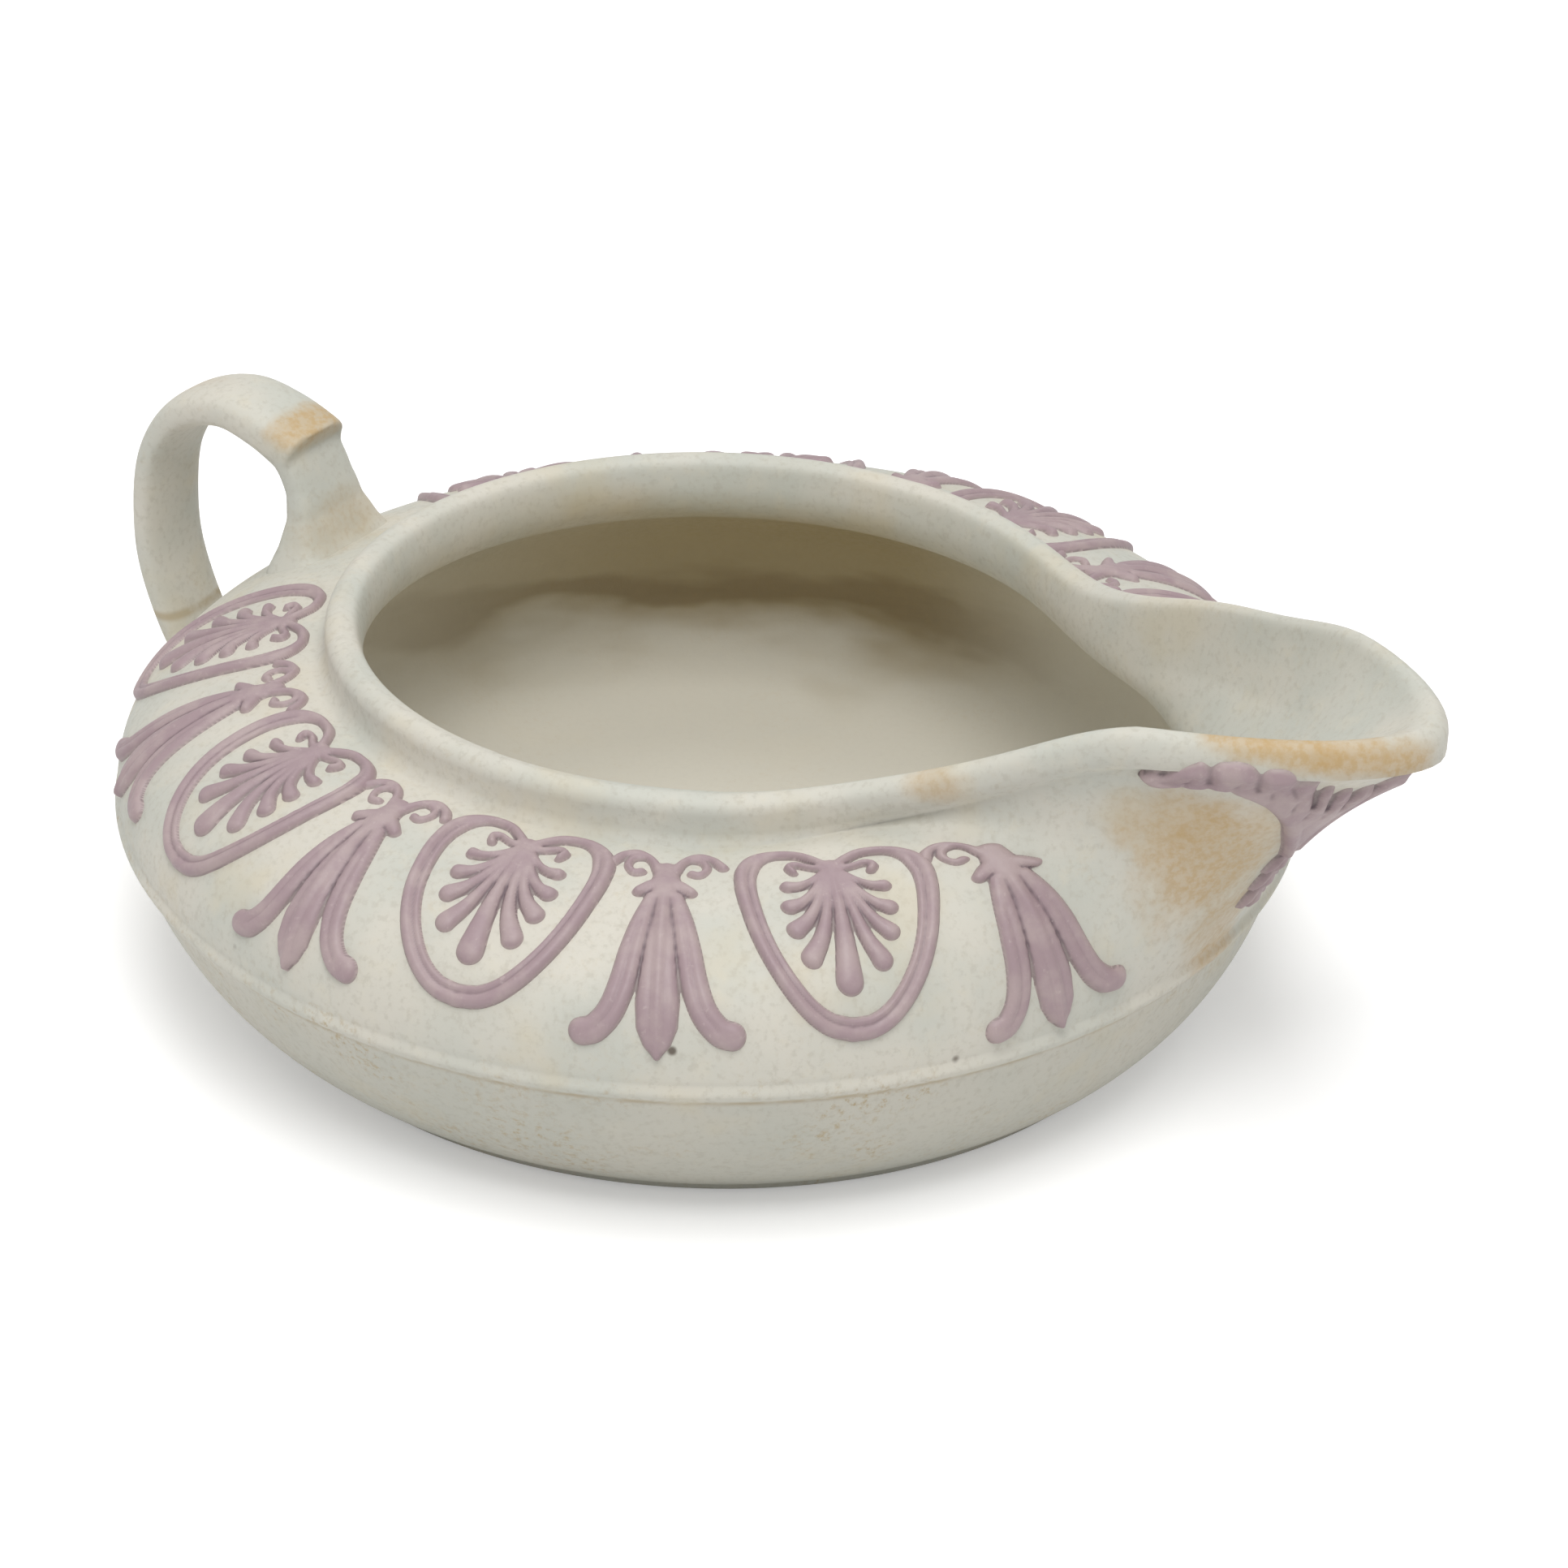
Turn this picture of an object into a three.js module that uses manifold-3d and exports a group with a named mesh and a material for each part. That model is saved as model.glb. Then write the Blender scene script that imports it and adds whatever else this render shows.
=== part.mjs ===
// A squat cream jug of dry-bodied stoneware, in the shape of an antique lamp, with a strap handle
// and applied relief: palmettes in oval frames, bellflowers, and a leaf under the spout.
// Millimetres, +Z up, +X towards the spout. The origin is at the centre of the foot.

import * as THREE from "three";
import { mergeVertices } from "three/addons/utils/BufferGeometryUtils.js";
import Module from "manifold-3d";

const wasm = await Module();
wasm.setup();
const { clamp, smoothstep, lerp, degToRad } = THREE.MathUtils;

// Driving dimensions of the body
const FOOT_RADIUS = 44.8;
const FOOT_BEVEL = 0.9;
const WALL_BULGE = 2.6;           // how far the lower wall swells beyond a straight taper
const CREASE_RADIUS = 57;
const CREASE_HEIGHT = 16.8;
const CREASE_STEP = 0.5;          // the lower wall ends this far inside the crease radius
const BEAD_RADIUS = 1.3;          // the rounded roll above the crease
const BEAD_PROUD = 0.9;
const BEAD_LIFT = 0.1;
const NECK_RADIUS = 37.6;
const NECK_FOOT_HEIGHT = 31.7;
const SHOULDER_FULLNESS = 2.2;    // exponent of the shoulder curve: 2 is an ellipse
const LIP_RADIUS = 35.3;          // to the middle of the rounded lip
const LIP_HEIGHT = 34.4;
const LIP_THICKNESS = 3.2;
const MOUTH_SHIFT = -0.7;         // pulling the spout draws the mouth this far towards the handle
const NECK_DEPTH = 4.6;           // inside of the neck, down from the middle of the lip
const WALL = 3.2;
const FLOOR = 3.6;
const FLOOR_CURVE = 9;            // radius where the inside wall turns into the floor
const SPOUT_DRAW = 2;             // below the spout the crease is drawn in by this
const DRAW_FADE = 3;              // power of the cosine with which that fades round the body

// Driving dimensions of the spout
const SPOUT_REACH = 74.4;         // axis to the middle of the lip at the tip
const SPOUT_RISE = 11.6;          // how far the lip climbs from the mouth to the tip
const SPOUT_HALF_WIDTH = 24.6;    // of the tongue shape at the axis, where it would start
const SPOUT_POINT = 1.78;         // exponent of the tongue: 1 is a wedge, 2 an ellipse
const SPOUT_BELLY_POINT = 2.3;    // the same exponent low on the shoulder
const SPOUT_TUCK = 5;             // how much narrower the tongue is at the bead than at the lip
const SPOUT_BLEND = 10;           // the higher, the tighter the fillet between spout and mouth
const CLIMB_START = 20;           // along X, where the lip starts to rise
const CLIMB_END = 62.7;           // along X, where it has risen all the way
const KEEL_CHIN = new THREE.Vector2(59.8, 28.5);
const KEEL_THROAT = new THREE.Vector2(62.9, 35.6);
const KEEL_DROP = 2.6;            // underside of the lip at the tip, below the middle of the lip

// Driving dimensions of the handle, in the plane of symmetry
const STRAP_WIDTH = 8.8;
const STRAP_THICKNESS = 2.6;
const STRAP_SQUARENESS = 3;       // exponent of its section: 2 is an ellipse
const LOOP_CLEARANCE = 12.5;      // crease to the middle of the strap at its outermost
const LOOP_TOP = 42.5;            // foot to the middle of the strap at its top
const LEG_ROOT_HEIGHT = 11;
const THUMB_REST_OUT = 12;        // neck to the front face of the stepped thumb rest
const THUMB_REST_THICKNESS = 4.2;
const LOOP_DIP = 2.4;             // from the crown of the loop down to the thumb rest
const STRUT_ROOT_OUT = 9.6;       // neck to where the strut ends in the shoulder
const ROOT_FLARE = 1.35;          // the strap widens by this where it is luted to the body
const ROOT_DEPTH = 5;             // how far the ends are modelled into the body before they are cut
const STRUT_DEPTH = 3.5;
const STRAP_SIDES = 10;

// Driving dimensions of the relief
const DRAWN_GIRTH = 94.6;         // crease radius and neck radius together that the relief is drawn for
const DRAWN_DESCENT = 25.47;      // length of the shoulder from neck to bead that it is drawn for
const SPRIG_PITCH = degToRad(18.3);
const FIRST_SPRIG = degToRad(24.4);
const SPRIGS_PER_SIDE = 8;
const SPRIG_SINK = 6;             // sprigs sit this much lower where the neck climbs into the spout
const SINK_START = degToRad(20);
const SINK_END = degToRad(62);
const SINK_REACH = 35;            // the sinking has faded this far below the neck
const RELIEF = 0.95;              // from the body to the top of the relief
const LOW_RELIEF = 0.85;          // the same for its lesser parts
const BEDDING = 0.3;              // layer of slip under each piece of relief and each handle root
const RIDGE_TOP = 0.6;            // width of a ridge's flat top, as a share of its width at the foot
const FRAME_WIDTH = 16.1;         // frame sizes are to the middle of its band
const FRAME_TOP = 1.6;            // distances of the relief are measured down from the neck
const FRAME_BOTTOM = 20.3;
const FRAME_BAND = 1.9;
const PALMETTE_ROOT = 4.4;
const LOBE_TIPS = [[0, 17.2], [3.1, 15.1], [4.25, 12.2], [4.4, 9.3], [4.1, 6.6]];
const LOBE_WIDTH = 1.75;
const MIDDLE_LOBE_WIDTH = 2.4;
const BELL_TOP = 4.3;
const BELL_BOTTOM = 22.8;
const BELL_WIDTH = 3.6;           // of the middle petal
const PETAL_WIDTH = 1.9;
const PETAL_SPREAD = 6.4;         // axis to the curled end of an outer petal
const LINK_REACH = 4.3;
const LINK_WIDTH = 0.9;
const LEAF_TOP = 1.2;             // distances of the leaf are measured down the keel from the lip
const LEAF_ROOT = 9.5;
const LEAF_STEM = 17;
const LEAF_BLADE = 4.8;
const LEAF_ARM = 17;              // from the keel round to the end of an arm
const HUSKS = 2;
const HUSK_LENGTH = 3.6;
const HUSK_WIDTH = 2.4;

// How finely curves are divided
const ROUND_STEPS = 60;
const CROWDING = 0.5;             // 0 spaces them evenly round the body, 1 crowds them at the spout
const WALL_STEPS = 3;
const BEAD_STEPS = 3;
const SHOULDER_STEPS = 7;
const LIP_STEPS = 4;
const INNER_STEPS = 4;
const INNER_TOP = 0.93;           // share of the shoulder under which the inside of the spout starts
const INNER_NECK_SHARE = 0.07;
const FRAME_STEPS = 20;
const SHOULDER_EDGE = 6;          // longest edge of relief on the shoulder, and on the sharper keel
const KEEL_EDGE = 2.4;

const CLAY = new THREE.MeshStandardMaterial({ color: 0xd0ccbe, roughness: 0.62, metalness: 0 });
const LILAC = new THREE.MeshStandardMaterial({ color: 0xa28e90, roughness: 0.68, metalness: 0 });

// Keel: the underside of the spout in the plane of symmetry, from the bead to the lip
const BEAD_TOP = new THREE.Vector2(CREASE_RADIUS + BEAD_RADIUS * 0.3, CREASE_HEIGHT + 2 * BEAD_RADIUS);
const KEEL_START = BEAD_TOP.clone().sub(new THREE.Vector2(SPOUT_DRAW, 0));
const LIP_TIP = new THREE.Vector2(SPOUT_REACH, LIP_HEIGHT + SPOUT_RISE);
const KEEL_END = new THREE.Vector2(SPOUT_REACH - LIP_THICKNESS / 8, LIP_TIP.y - KEEL_DROP);
const keel = new THREE.CubicBezierCurve(KEEL_START, KEEL_CHIN, KEEL_THROAT, KEEL_END);

// One level of the body: a circle at a height, drawn in or pulled out to a tongue at the spout
function tongueLevel(radius, height, tip, halfWidth, point, share) {
  return {
    radius, height, halfWidth, point, reach: tip.x, tipHeight: tip.y,
    shift: MOUTH_SHIFT * share, draw: SPOUT_DRAW * (1 - share),
  };
}

// A level of the bowl or of the bead
function bowlLevel(radius, height) {
  const draw = SPOUT_DRAW * Math.min(height / CREASE_HEIGHT, 1);
  return { radius, height, halfWidth: 1, point: 2, reach: 0, tipHeight: height, shift: 0, draw };
}

// Level on the shoulder: 0 at the bead, 1 at the foot of the neck
function shoulderLevel(share) {
  const turn = share * Math.PI / 2;
  const power = 2 / SHOULDER_FULLNESS;
  const radius = NECK_RADIUS + (BEAD_TOP.x - NECK_RADIUS) * Math.max(Math.cos(turn), 0) ** power;
  const height = BEAD_TOP.y + (NECK_FOOT_HEIGHT - BEAD_TOP.y) * Math.sin(turn) ** power;
  const halfWidth = SPOUT_HALF_WIDTH - SPOUT_TUCK * (1 - share);
  const point = lerp(SPOUT_BELLY_POINT, SPOUT_POINT, share);
  return tongueLevel(radius, height, keel.getPoint(share), halfWidth, point, share);
}

// Level round the lip, beside its middle by (out, up)
function lipLevel(out, up) {
  const tip = new THREE.Vector2(LIP_TIP.x + out, LIP_TIP.y + up);
  return tongueLevel(LIP_RADIUS + out, LIP_HEIGHT + up, tip, SPOUT_HALF_WIDTH + out, SPOUT_POINT, 1);
}

// The inside of a shoulder level: its section and its keel both move in by the wall
function insideLevel(share) {
  const step = 0.01;
  const at = shoulderLevel(share);
  const low = shoulderLevel(Math.max(share - step, 0));
  const high = shoulderLevel(Math.min(share + step, 1));
  const out = new THREE.Vector2(high.height - low.height, low.radius - high.radius).setLength(WALL);
  const under = new THREE.Vector2(high.tipHeight - low.tipHeight, low.reach - high.reach).setLength(WALL);
  const tip = new THREE.Vector2(at.reach - under.x, at.tipHeight - under.y);
  return tongueLevel(at.radius - out.x, at.height - out.y, tip, at.halfWidth - WALL, at.point, share);
}

// Point of a level at an angle from the spout
function pointAt(at, angle) {
  const forward = Math.max(Math.cos(angle), 0);
  const nearest = at.radius - at.draw;
  let radius = at.radius - at.draw * forward ** DRAW_FADE;
  if (forward > 0 && at.reach > nearest) {
    const length = (at.reach ** SPOUT_BLEND - nearest ** SPOUT_BLEND) ** (1 / SPOUT_BLEND);
    const tongue = ((forward / length) ** at.point
      + Math.abs(Math.sin(angle) / at.halfWidth) ** at.point) ** (-1 / at.point);
    radius = (radius ** SPOUT_BLEND + tongue ** SPOUT_BLEND) ** (1 / SPOUT_BLEND);
  }
  const x = radius * Math.cos(angle);
  const climbed = smoothstep(x, CLIMB_START, clamp(at.reach, CLIMB_START + 1, CLIMB_END));
  return new THREE.Vector3(x + at.shift, radius * Math.sin(angle), lerp(at.height, at.tipHeight, climbed));
}

// Outward direction of the shoulder's surface
function shoulderNormal(share, angle) {
  const step = 0.004;
  const low = clamp(share - step, 0, 1);
  const high = clamp(share + step, 0, 1);
  const up = pointAt(shoulderLevel(high), angle).sub(pointAt(shoulderLevel(low), angle));
  const round = pointAt(shoulderLevel(share), angle + step).sub(pointAt(shoulderLevel(share), angle - step));
  return round.cross(up).normalize();
}

// The plain section of the shoulder from the neck down, for measuring along it
const descent = [];
for (let i = 0; i <= 100; i += 1) descent.push(pointAt(shoulderLevel(1 - i / 100), Math.PI));
const descentLength = descent.slice(1).reduce((sum, point, i) => sum + point.distanceTo(descent[i]), 0);

// Share of the shoulder that lies a distance below the neck, measured along the plain section
function shareBelowNeck(distance) {
  let left = distance;
  for (let i = 0; i + 1 < descent.length; i += 1) {
    const length = descent[i].distanceTo(descent[i + 1]);
    if (left <= length) return 1 - (i + left / length) * 0.01;
    left -= length;
  }
  return 0;
}

// Angles round the body, closer together at the spout
function roundAngles() {
  const angles = [];
  for (let i = 0; i < ROUND_STEPS; i += 1) {
    const even = (i / ROUND_STEPS) * 2 * Math.PI - Math.PI;
    angles.push(even - CROWDING * Math.sin(even));
  }
  return angles;
}

// Closed solid from rings of points, with a middle point at each end
function solidFromRings(rings, firstMiddle, lastMiddle) {
  const count = rings[0].length;
  const positions = rings.flat().concat([firstMiddle, lastMiddle]).flatMap((p) => [p.x, p.y, p.z]);
  const first = rings.length * count;
  const last = first + 1;
  const index = [];
  for (let j = 0; j < count; j += 1) {
    const next = (j + 1) % count;
    index.push(first, next, j);
    index.push(last, first - count + j, first - count + next);
    for (let i = 0; i + 1 < rings.length; i += 1) {
      const a = i * count + j;
      const b = i * count + next;
      index.push(a, b, b + count, a, b + count, a + count);
    }
  }
  const geometry = new THREE.BufferGeometry();
  geometry.setAttribute("position", new THREE.Float32BufferAttribute(positions, 3));
  geometry.setIndex(index);
  return geometry;
}

// Outer levels from the foot to the top of the shoulder
function outerLevels() {
  const wallFoot = new THREE.Vector2(FOOT_RADIUS, FOOT_BEVEL);
  const wallTop = new THREE.Vector2(CREASE_RADIUS - CREASE_STEP, CREASE_HEIGHT);
  const bulge = wallFoot.clone().lerp(wallTop, 0.5).add(new THREE.Vector2(WALL_BULGE, -WALL_BULGE));
  const wall = new THREE.QuadraticBezierCurve(wallFoot, bulge, wallTop);
  const levels = [bowlLevel(FOOT_RADIUS - FOOT_BEVEL, 0)];
  wall.getPoints(WALL_STEPS).forEach((p) => levels.push(bowlLevel(p.x, p.y)));
  for (let i = 0; i < BEAD_STEPS; i += 1) {
    const turn = (i / BEAD_STEPS - 0.5) * Math.PI;
    levels.push(bowlLevel(CREASE_RADIUS + BEAD_PROUD * Math.cos(turn),
      CREASE_HEIGHT + BEAD_LIFT + BEAD_RADIUS * (1 + Math.sin(turn))));
  }
  for (let i = 0; i <= SHOULDER_STEPS; i += 1) levels.push(shoulderLevel(i / SHOULDER_STEPS));
  return levels;
}

// Neck and rounded lip, from outside to inside
function lipLevels() {
  const half = LIP_THICKNESS / 2;
  const levels = [lipLevel(half, -half)];
  for (let i = 0; i <= LIP_STEPS; i += 1) {
    const turn = (i / LIP_STEPS) * Math.PI;
    levels.push(lipLevel(Math.cos(turn) * half, Math.sin(turn) * half));
  }
  return levels;
}

// Inside from the neck down to the floor
function innerLevels() {
  const top = insideLevel(INNER_TOP);
  const levels = [{ ...top, radius: LIP_RADIUS - LIP_THICKNESS / 2, height: LIP_HEIGHT - NECK_DEPTH }];
  for (let i = INNER_STEPS; i >= 0; i -= 1) {
    levels.push(insideLevel((i / INNER_STEPS) * (INNER_TOP - INNER_NECK_SHARE)));
  }
  const sweep = new THREE.QuadraticBezierCurve(
    new THREE.Vector2(CREASE_RADIUS - WALL, CREASE_HEIGHT),
    new THREE.Vector2(FOOT_RADIUS - WALL + WALL_BULGE, FLOOR),
    new THREE.Vector2(FOOT_RADIUS - FLOOR_CURVE, FLOOR));
  sweep.getPoints(WALL_STEPS).forEach((p) => levels.push(bowlLevel(p.x, p.y)));
  return levels;
}

function vesselBody() {
  const angles = roundAngles();
  const levels = [...outerLevels(), ...lipLevels(), ...innerLevels()];
  const rings = levels.map((at) => angles.map((angle) => pointAt(at, angle)));
  return solidFromRings(rings, new THREE.Vector3(0, 0, 0), new THREE.Vector3(0, 0, FLOOR));
}

// The space that the body fills out to its skin, grown by the bedding: the handle's roots are cut by it
function beddingSpace() {
  const angles = roundAngles();
  const levels = [...outerLevels(), lipLevel(0, 0)];
  const rings = levels.map((at) => angles.map((angle) => pointAt(at, angle)));
  const skin = solidFromRings(rings, new THREE.Vector3(0, 0, 0), new THREE.Vector3(0, 0, LIP_HEIGHT));
  skin.computeVertexNormals();
  const place = skin.getAttribute("position");
  const normal = skin.getAttribute("normal");
  for (let i = 0; i < place.count; i += 1) {
    place.setXYZ(i, place.getX(i) + normal.getX(i) * BEDDING, place.getY(i) + normal.getY(i) * BEDDING,
      place.getZ(i) + normal.getZ(i) * BEDDING);
  }
  return toManifold(skin);
}

function toManifold(geometry) {
  const bare = geometry.clone();
  bare.deleteAttribute("normal");
  bare.deleteAttribute("uv");
  const merged = mergeVertices(bare, 1e-4);
  return new wasm.Manifold(new wasm.Mesh({
    numProp: 3,
    vertProperties: new Float32Array(merged.getAttribute("position").array),
    triVerts: new Uint32Array(merged.getIndex().array),
  }));
}

function fromManifold(solid) {
  const mesh = solid.getMesh();
  const geometry = new THREE.BufferGeometry();
  geometry.setAttribute("position", new THREE.Float32BufferAttribute(mesh.vertProperties, 3));
  geometry.setIndex(new THREE.Uint32BufferAttribute(mesh.triVerts, 1));
  return geometry;
}

function joined(solids) {
  return solids.reduce((sum, solid) => sum.add(solid));
}

// The largest of the bodies that a cut leaves
function largestBody(solid) {
  return solid.decompose().sort((a, b) => b.volume() - a.volume())[0];
}

// Strap with a rounded oblong section, swept along points in the plane of symmetry
function strap(points, width, thickness) {
  const path = new THREE.SplineCurve(points);
  const steps = points.length * 2;
  const rings = [];
  for (let i = 0; i <= steps; i += 1) {
    const share = i / steps;
    const middle = path.getPoint(share);
    const along = path.getTangent(share);
    const ring = [];
    for (let j = 0; j < STRAP_SIDES; j += 1) {
      const turn = (j / STRAP_SIDES) * 2 * Math.PI;
      const power = 2 / STRAP_SQUARENESS;
      const across = Math.sign(Math.cos(turn)) * Math.abs(Math.cos(turn)) ** power * width(share) / 2;
      const out = Math.sign(Math.sin(turn)) * Math.abs(Math.sin(turn)) ** power * thickness(share) / 2;
      ring.push(new THREE.Vector3(middle.x - along.y * out, across, middle.y + along.x * out));
    }
    rings.push(ring);
  }
  const start = path.getPoint(0);
  const end = path.getPoint(1);
  return solidFromRings(rings, new THREE.Vector3(start.x, 0, start.y), new THREE.Vector3(end.x, 0, end.y));
}

// Loop from the bead up to the thumb rest, and a strut from there down to the shoulder
function handle(bedding) {
  const top = LOOP_TOP;
  const low = LEG_ROOT_HEIGHT;
  const out = -CREASE_RADIUS - LOOP_CLEARANCE;
  const rest = -NECK_RADIUS - THUMB_REST_OUT;
  const root = -NECK_RADIUS - STRUT_ROOT_OUT;
  const crown = out + STRAP_THICKNESS * 4;
  const v = (x, z) => new THREE.Vector2(x, z);
  const loop = [
    v(-CREASE_RADIUS + ROOT_DEPTH, low), v(-CREASE_RADIUS - LOOP_CLEARANCE * 0.32, low),
    v(out + LOOP_CLEARANCE * 0.4, lerp(low, top, 0.1)), v(out + LOOP_CLEARANCE * 0.08, lerp(low, top, 0.36)),
    v(out, lerp(low, top, 0.52)), v(out + LOOP_CLEARANCE * 0.13, lerp(low, top, 0.76)),
    v(out + LOOP_CLEARANCE * 0.45, top - STRAP_THICKNESS), v(crown, top),
    v(lerp(crown, rest, 0.55), top - LOOP_DIP / 5), v(rest, top - LOOP_DIP),
  ];
  const strut = [
    v(rest - STRAP_THICKNESS, top - LOOP_DIP), v(rest - STRAP_THICKNESS / 2, top - LOOP_DIP * 2.5),
    v(lerp(rest, root, 0.65), lerp(top, NECK_FOOT_HEIGHT, 0.85)), v(root, NECK_FOOT_HEIGHT - STRUT_DEPTH),
  ];
  const flareAtStart = (share) => STRAP_WIDTH * lerp(ROOT_FLARE, 1, smoothstep(share, 0, 0.22));
  const restThickness = (share) => lerp(STRAP_THICKNESS, THUMB_REST_THICKNESS, smoothstep(share, 0.9, 1));
  const flareAtEnd = (share) => STRAP_WIDTH * lerp(1, ROOT_FLARE, smoothstep(share, 0.55, 1));
  const thickAtEnd = (share) => STRAP_THICKNESS * lerp(1, ROOT_FLARE, smoothstep(share, 0.5, 1));
  const rise = strap(loop, flareAtStart, restThickness);
  const fall = strap(strut, flareAtEnd, thickAtEnd);
  return fromManifold(largestBody(toManifold(rise).add(toManifold(fall)).subtract(bedding)));
}

// Ridge of relief along a line drawn flat: x is across the sprig, y is the distance down from the top.
// It comes as a closed solid whose z is the height over the body.
function ridge(points, halfWidth, height, shares, closed = false) {
  const line = new THREE.CatmullRomCurve3(points.map(([x, y]) => new THREE.Vector3(x, y, 0)), closed);
  const rings = shares.map((share) => {
    const middle = line.getPoint(share);
    const along = line.getTangent(share);
    const wide = halfWidth(share);
    const section = [[-wide, BEDDING], [-wide * RIDGE_TOP, height(share)],
      [wide * RIDGE_TOP, height(share)], [wide, BEDDING]];
    return section.map(([side, up]) => (
      new THREE.Vector3(middle.x + along.y * side, middle.y - along.x * side, up)));
  });
  return closed ? closedLoop(rings) : solidFromRings(rings, middleOf(rings[0]), middleOf(rings.at(-1)));
}

function middleOf(ring) {
  return ring.reduce((sum, p) => sum.add(p), new THREE.Vector3()).divideScalar(ring.length);
}

// Shares from 0 to 1 in even steps
function evenly(steps) {
  return Array.from({ length: steps + 1 }, (_, i) => i / steps);
}

// Closed solid from rings that follow each other round
function closedLoop(rings) {
  const count = rings[0].length;
  const index = [];
  for (let i = 0; i < rings.length; i += 1) {
    for (let j = 0; j < count; j += 1) {
      const a = i * count + j;
      const b = i * count + ((j + 1) % count);
      const c = ((i + 1) % rings.length) * count + j;
      const d = ((i + 1) % rings.length) * count + ((j + 1) % count);
      index.push(a, b, d, a, d, c);
    }
  }
  const positions = rings.flat().flatMap((p) => [p.x, p.y, p.z]);
  const geometry = new THREE.BufferGeometry();
  geometry.setAttribute("position", new THREE.Float32BufferAttribute(positions, 3));
  geometry.setIndex(index);
  return geometry;
}

// Ridge that swells from a thin root to a round end, as a palmette lobe
function lobe(points, width) {
  const halfWidth = (share) => width * (share < 0.1 ? 0.3 : share < 0.95 ? 0.5 : 0.28);
  return ridge(points, halfWidth, (share) => RELIEF * (share > 0.95 ? 0.85 : 1), [0, 0.5, 0.86, 1]);
}

// Lays flat relief on the shoulder, round an angle from the spout; its y starts at the neck.
// The relief is stretched by as much as the shoulder differs from the one that it is drawn for.
function layOnShoulder(geometry, angle) {
  const place = geometry.getAttribute("position");
  const wider = (CREASE_RADIUS + NECK_RADIUS) / DRAWN_GIRTH;
  const longer = descentLength / DRAWN_DESCENT;
  for (let i = 0; i < place.count; i += 1) {
    const across = place.getX(i) * wider;
    const down = place.getY(i) * longer;
    const level = shoulderLevel(shareBelowNeck(down));
    const turn = angle - across / level.radius;
    const sink = SPRIG_SINK * (1 - smoothstep(Math.abs(turn), SINK_START, SINK_END));
    const share = shareBelowNeck(down + sink * (1 - down / SINK_REACH));
    const point = pointAt(shoulderLevel(share), turn);
    point.addScaledVector(shoulderNormal(share, turn), place.getZ(i));
    place.setXYZ(i, point.x, point.y, point.z);
  }
  return geometry;
}

// Palmette hanging in an oval frame with two humps at its top
function palmetteRelief() {
  const at = (across, down) => [FRAME_WIDTH / 2 * across, lerp(FRAME_TOP, FRAME_BOTTOM, down)];
  const right = [at(0.2, 0.03), at(0.45, 0), at(0.76, 0.04), at(0.97, 0.17), at(1, 0.44),
    at(0.82, 0.73), at(0.42, 0.95)];
  const left = right.map(([x, y]) => [-x, y]).reverse();
  const fromTop = (share) => 0.5 - Math.abs(share - 0.5);
  const band = (share) => FRAME_BAND / 2 * lerp(0.55, 1, smoothstep(fromTop(share), 0, 0.35));
  const around = evenly(FRAME_STEPS).slice(0, -1);
  const outline = [[0, PALMETTE_ROOT * 0.77], ...right, at(0, 1), ...left];
  const pieces = [ridge(outline, band, () => RELIEF, around, true)];
  for (const [tipX, tipY] of LOBE_TIPS) {
    for (const side of tipX ? [1, -1] : [1]) {
      const out = tipX * side;
      const root = lerp(PALMETTE_ROOT, tipY, tipX ? 0.15 : 0);
      const path = [[0.12 * out, root], [0.42 * out, lerp(root, tipY, 0.68)], [out, tipY]];
      pieces.push(lobe(path, tipX ? LOBE_WIDTH : MIDDLE_LOBE_WIDTH));
    }
  }
  for (const side of [1, -1]) {
    const curl = [[0, PALMETTE_ROOT], [0.13 * FRAME_WIDTH * side, PALMETTE_ROOT * 0.77],
      [0.217 * FRAME_WIDTH * side, PALMETTE_ROOT * 0.98]];
    pieces.push(ridge(curl, (share) => LOBE_WIDTH * lerp(0.43, 0.285, share), () => LOW_RELIEF, evenly(3)));
  }
  return pieces;
}

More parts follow.
